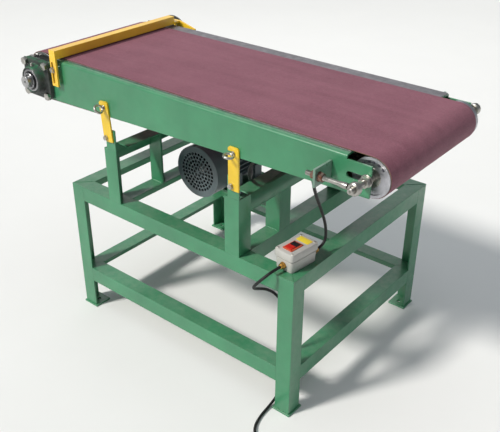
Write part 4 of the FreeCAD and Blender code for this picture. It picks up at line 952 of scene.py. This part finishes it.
def coil_tie():
    """Strap round the coil at one side."""
    half_width, wall = 6, 0.45
    rings = []
    for x, z in ((29.9, 0.5), (29.9, 24.1), (31.4, 24.55), (57, 24.55), (58.4, 23.4), (58.4, 1.4), (57, 0.5),
                 (31.4, 0.5)):
        outer = (COIL_X + x, z)
        inner = (outer[0] + (wall if x < 44 else -wall), z + (wall if z < 12 else -wall))
        rings.append([at(x, COIL_Y + y, z) for (x, z), y in (
            (outer, -half_width), (outer, half_width), (inner, half_width), (inner, -half_width))])
    tie = Shape().rings(rings, closed=True)
    return tie.piece("coil_tie", black_plastic, "frame", slot="black_plastic")


motor_cord, motor_cord_length = lead("motor_cord", MOTOR_ROUTE)
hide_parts("motor_lead")
plug_pieces = plug()
INTO_PLUG = [(898, PLUG_Y, 20.4), (888, PLUG_Y, 19.6), (876, PLUG_Y, 19), (858, PLUG_Y, 19)]
supply_cord, supply_cord_length = lead("supply_cord", SUPPLY_ROUTE + coil_points() + INTO_PLUG)
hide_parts("supply_lead", "supply_coil")
plug_pieces + [coil_tie()]


# ---------------------------------------------------------------- welds
def weld_beads():
    """Rippled fillets where the posts, rails, legs and foot plates meet."""
    beads = Shape()

    def bead(start, end, radius=2.6):
        start, end = Vector(start), Vector(end)
        steps = max(8, int((end - start).length / 1.6))
        path, sizes = [], []
        for step in range(steps + 1):
            point = start.lerp(end, step / steps)
            drift = Vector((noise.noise(point * 0.13), noise.noise(point * 0.13 + Z * 9), 0)) * 0.5
            path.append(at(*(point + drift)))
            fade = min(1.0, step / 3 + 0.3, (steps - step) / 3 + 0.3)
            sizes.append(radius * fade * (1 + 0.16 * math.sin(step * 1.5)))
        beads.sweep(path, sizes, 8)

    rail_top, post_top, sill_top = 460.4, 628, 455.6
    for x, web in ((175, 180), (638, 683)):
        for y in (5.5, 178):
            bead((x + 4, y, rail_top), (x + 46, y, rail_top))
        bead((x + 3, 492, rail_top), (x + 47, 492, rail_top))
        for y in (8, 498):
            bead((web, y, rail_top), (web, y + 40, rail_top))
        bead((x + 3, 178, post_top), (x + 47, 178, post_top), 2.2)
        bead((x + 14, 5.2, post_top + 5.2), (x + 48, 5.2, post_top + 5.2), 1.6)
        for y in (50, 660):
            bead((x + 3, y, sill_top), (x + 3, y, 415), 2.0)
    width, depth, _ = from_corner(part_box("legs")[1])
    foot_top, mitre_top = 6.3, 460.1
    for x, in_x in ((0, 1), (width, -1)):
        for y, in_y in ((0, 1), (depth, -1)):
            inner_x, inner_y = x + 5.4 * in_x, y + 5.4 * in_y
            bead((x + 3 * in_x, y + 3 * in_y, mitre_top), (x + 47 * in_x, y + 47 * in_y, mitre_top), 1.1)
            bead((inner_x, y + 8 * in_y, foot_top), (inner_x, y + 46 * in_y, foot_top), 2.4)
            bead((x + 8 * in_x, inner_y, foot_top), (x + 46 * in_x, inner_y, foot_top), 2.4)
    beads.piece("weld_beads", greens, "frame", slot="green_paint", sharp=80)


weld_beads()


# ---------------------------------------------------------------- studio
def lamp(name, kind, place, towards, strength, colour=(1, 1, 1)):
    """A light that shines in the direction given; returns its data, for what only its kind has."""
    data = bpy.data.lights.new(name, kind)
    data.energy = strength
    data.color = colour
    made = bpy.data.objects.new(name, data)
    made.location = place
    made.rotation_mode = "QUATERNION"
    made.rotation_quaternion = Vector(towards).to_track_quat("-Z", "Y")
    bpy.context.scene.collection.objects.link(made)
    return data


def studio():
    """Pale floor, pale blue sky, a warm key sun, a soft overhead sun and a panel that lights the rear."""
    world = bpy.data.worlds.new("studio")
    world.use_nodes = True
    background = world.node_tree.nodes["Background"]
    background.inputs["Color"].default_value = (0.86, 0.93, 1.0, 1)
    background.inputs["Strength"].default_value = 0.25
    bpy.context.scene.world = world

    finish = Finish("floor", Roughness=0.75)
    finish.set(Base_Color=finish.mix(finish.noise(3, 4), (0.77, 0.77, 0.76, 1), (0.8, 0.8, 0.79, 1)))
    reach = 40
    corners = [(-reach, -reach, 0), (reach, -reach, 0), (reach, reach, 0), (-reach, reach, 0)]
    mesh = bpy.data.meshes.new("floor")
    mesh.from_pydata(corners, [], [(0, 1, 2, 3)])
    mesh.materials.append(finish.material)
    floor = bpy.data.objects.new("floor", mesh)
    bpy.context.scene.collection.objects.link(floor)

    panel_at = at(-1500, 2600, 2600)
    panel = lamp("panel", "AREA", panel_at, at(450, 250, 800) - panel_at, 18)
    panel.shape = "RECTANGLE"
    panel.size, panel.size_y = 3.6, 2.4
    key = lamp("key", "SUN", (0, 0, 0), (0.35, 0.72, -0.75), 3.4, (1.0, 0.97, 0.92))
    key.angle = math.radians(9)
    sky = lamp("sky", "SUN", (0, 0, 0), (-0.1, 0.1, -1.0), 0.6, (0.9, 0.96, 1.0))
    sky.angle = math.radians(60)


def camera():
    """Camera above the stand's front right corner; its angles are radians."""
    yaw, pitch, roll = -0.6808, 0.5208, 0.0059
    place = at(1770.2, -1290.0, 1555.1)
    forward = Vector((math.sin(yaw) * math.cos(pitch), math.cos(yaw) * math.cos(pitch), -math.sin(pitch)))
    level = Vector((math.cos(yaw), -math.sin(yaw), 0))
    upright = level.cross(forward)
    right = level * math.cos(roll) + upright * math.sin(roll)
    up = upright * math.cos(roll) - level * math.sin(roll)
    data = bpy.data.cameras.new("camera")
    data.lens = 54.1
    data.sensor_width = 36
    made = bpy.data.objects.new("camera", data)
    turned = Matrix((right, up, -forward)).transposed().to_4x4()
    made.matrix_world = Matrix.Translation(place) @ turned
    bpy.context.scene.collection.objects.link(made)
    bpy.context.scene.camera = made


studio()
camera()
bpy.context.scene.view_settings.view_transform = "Standard"
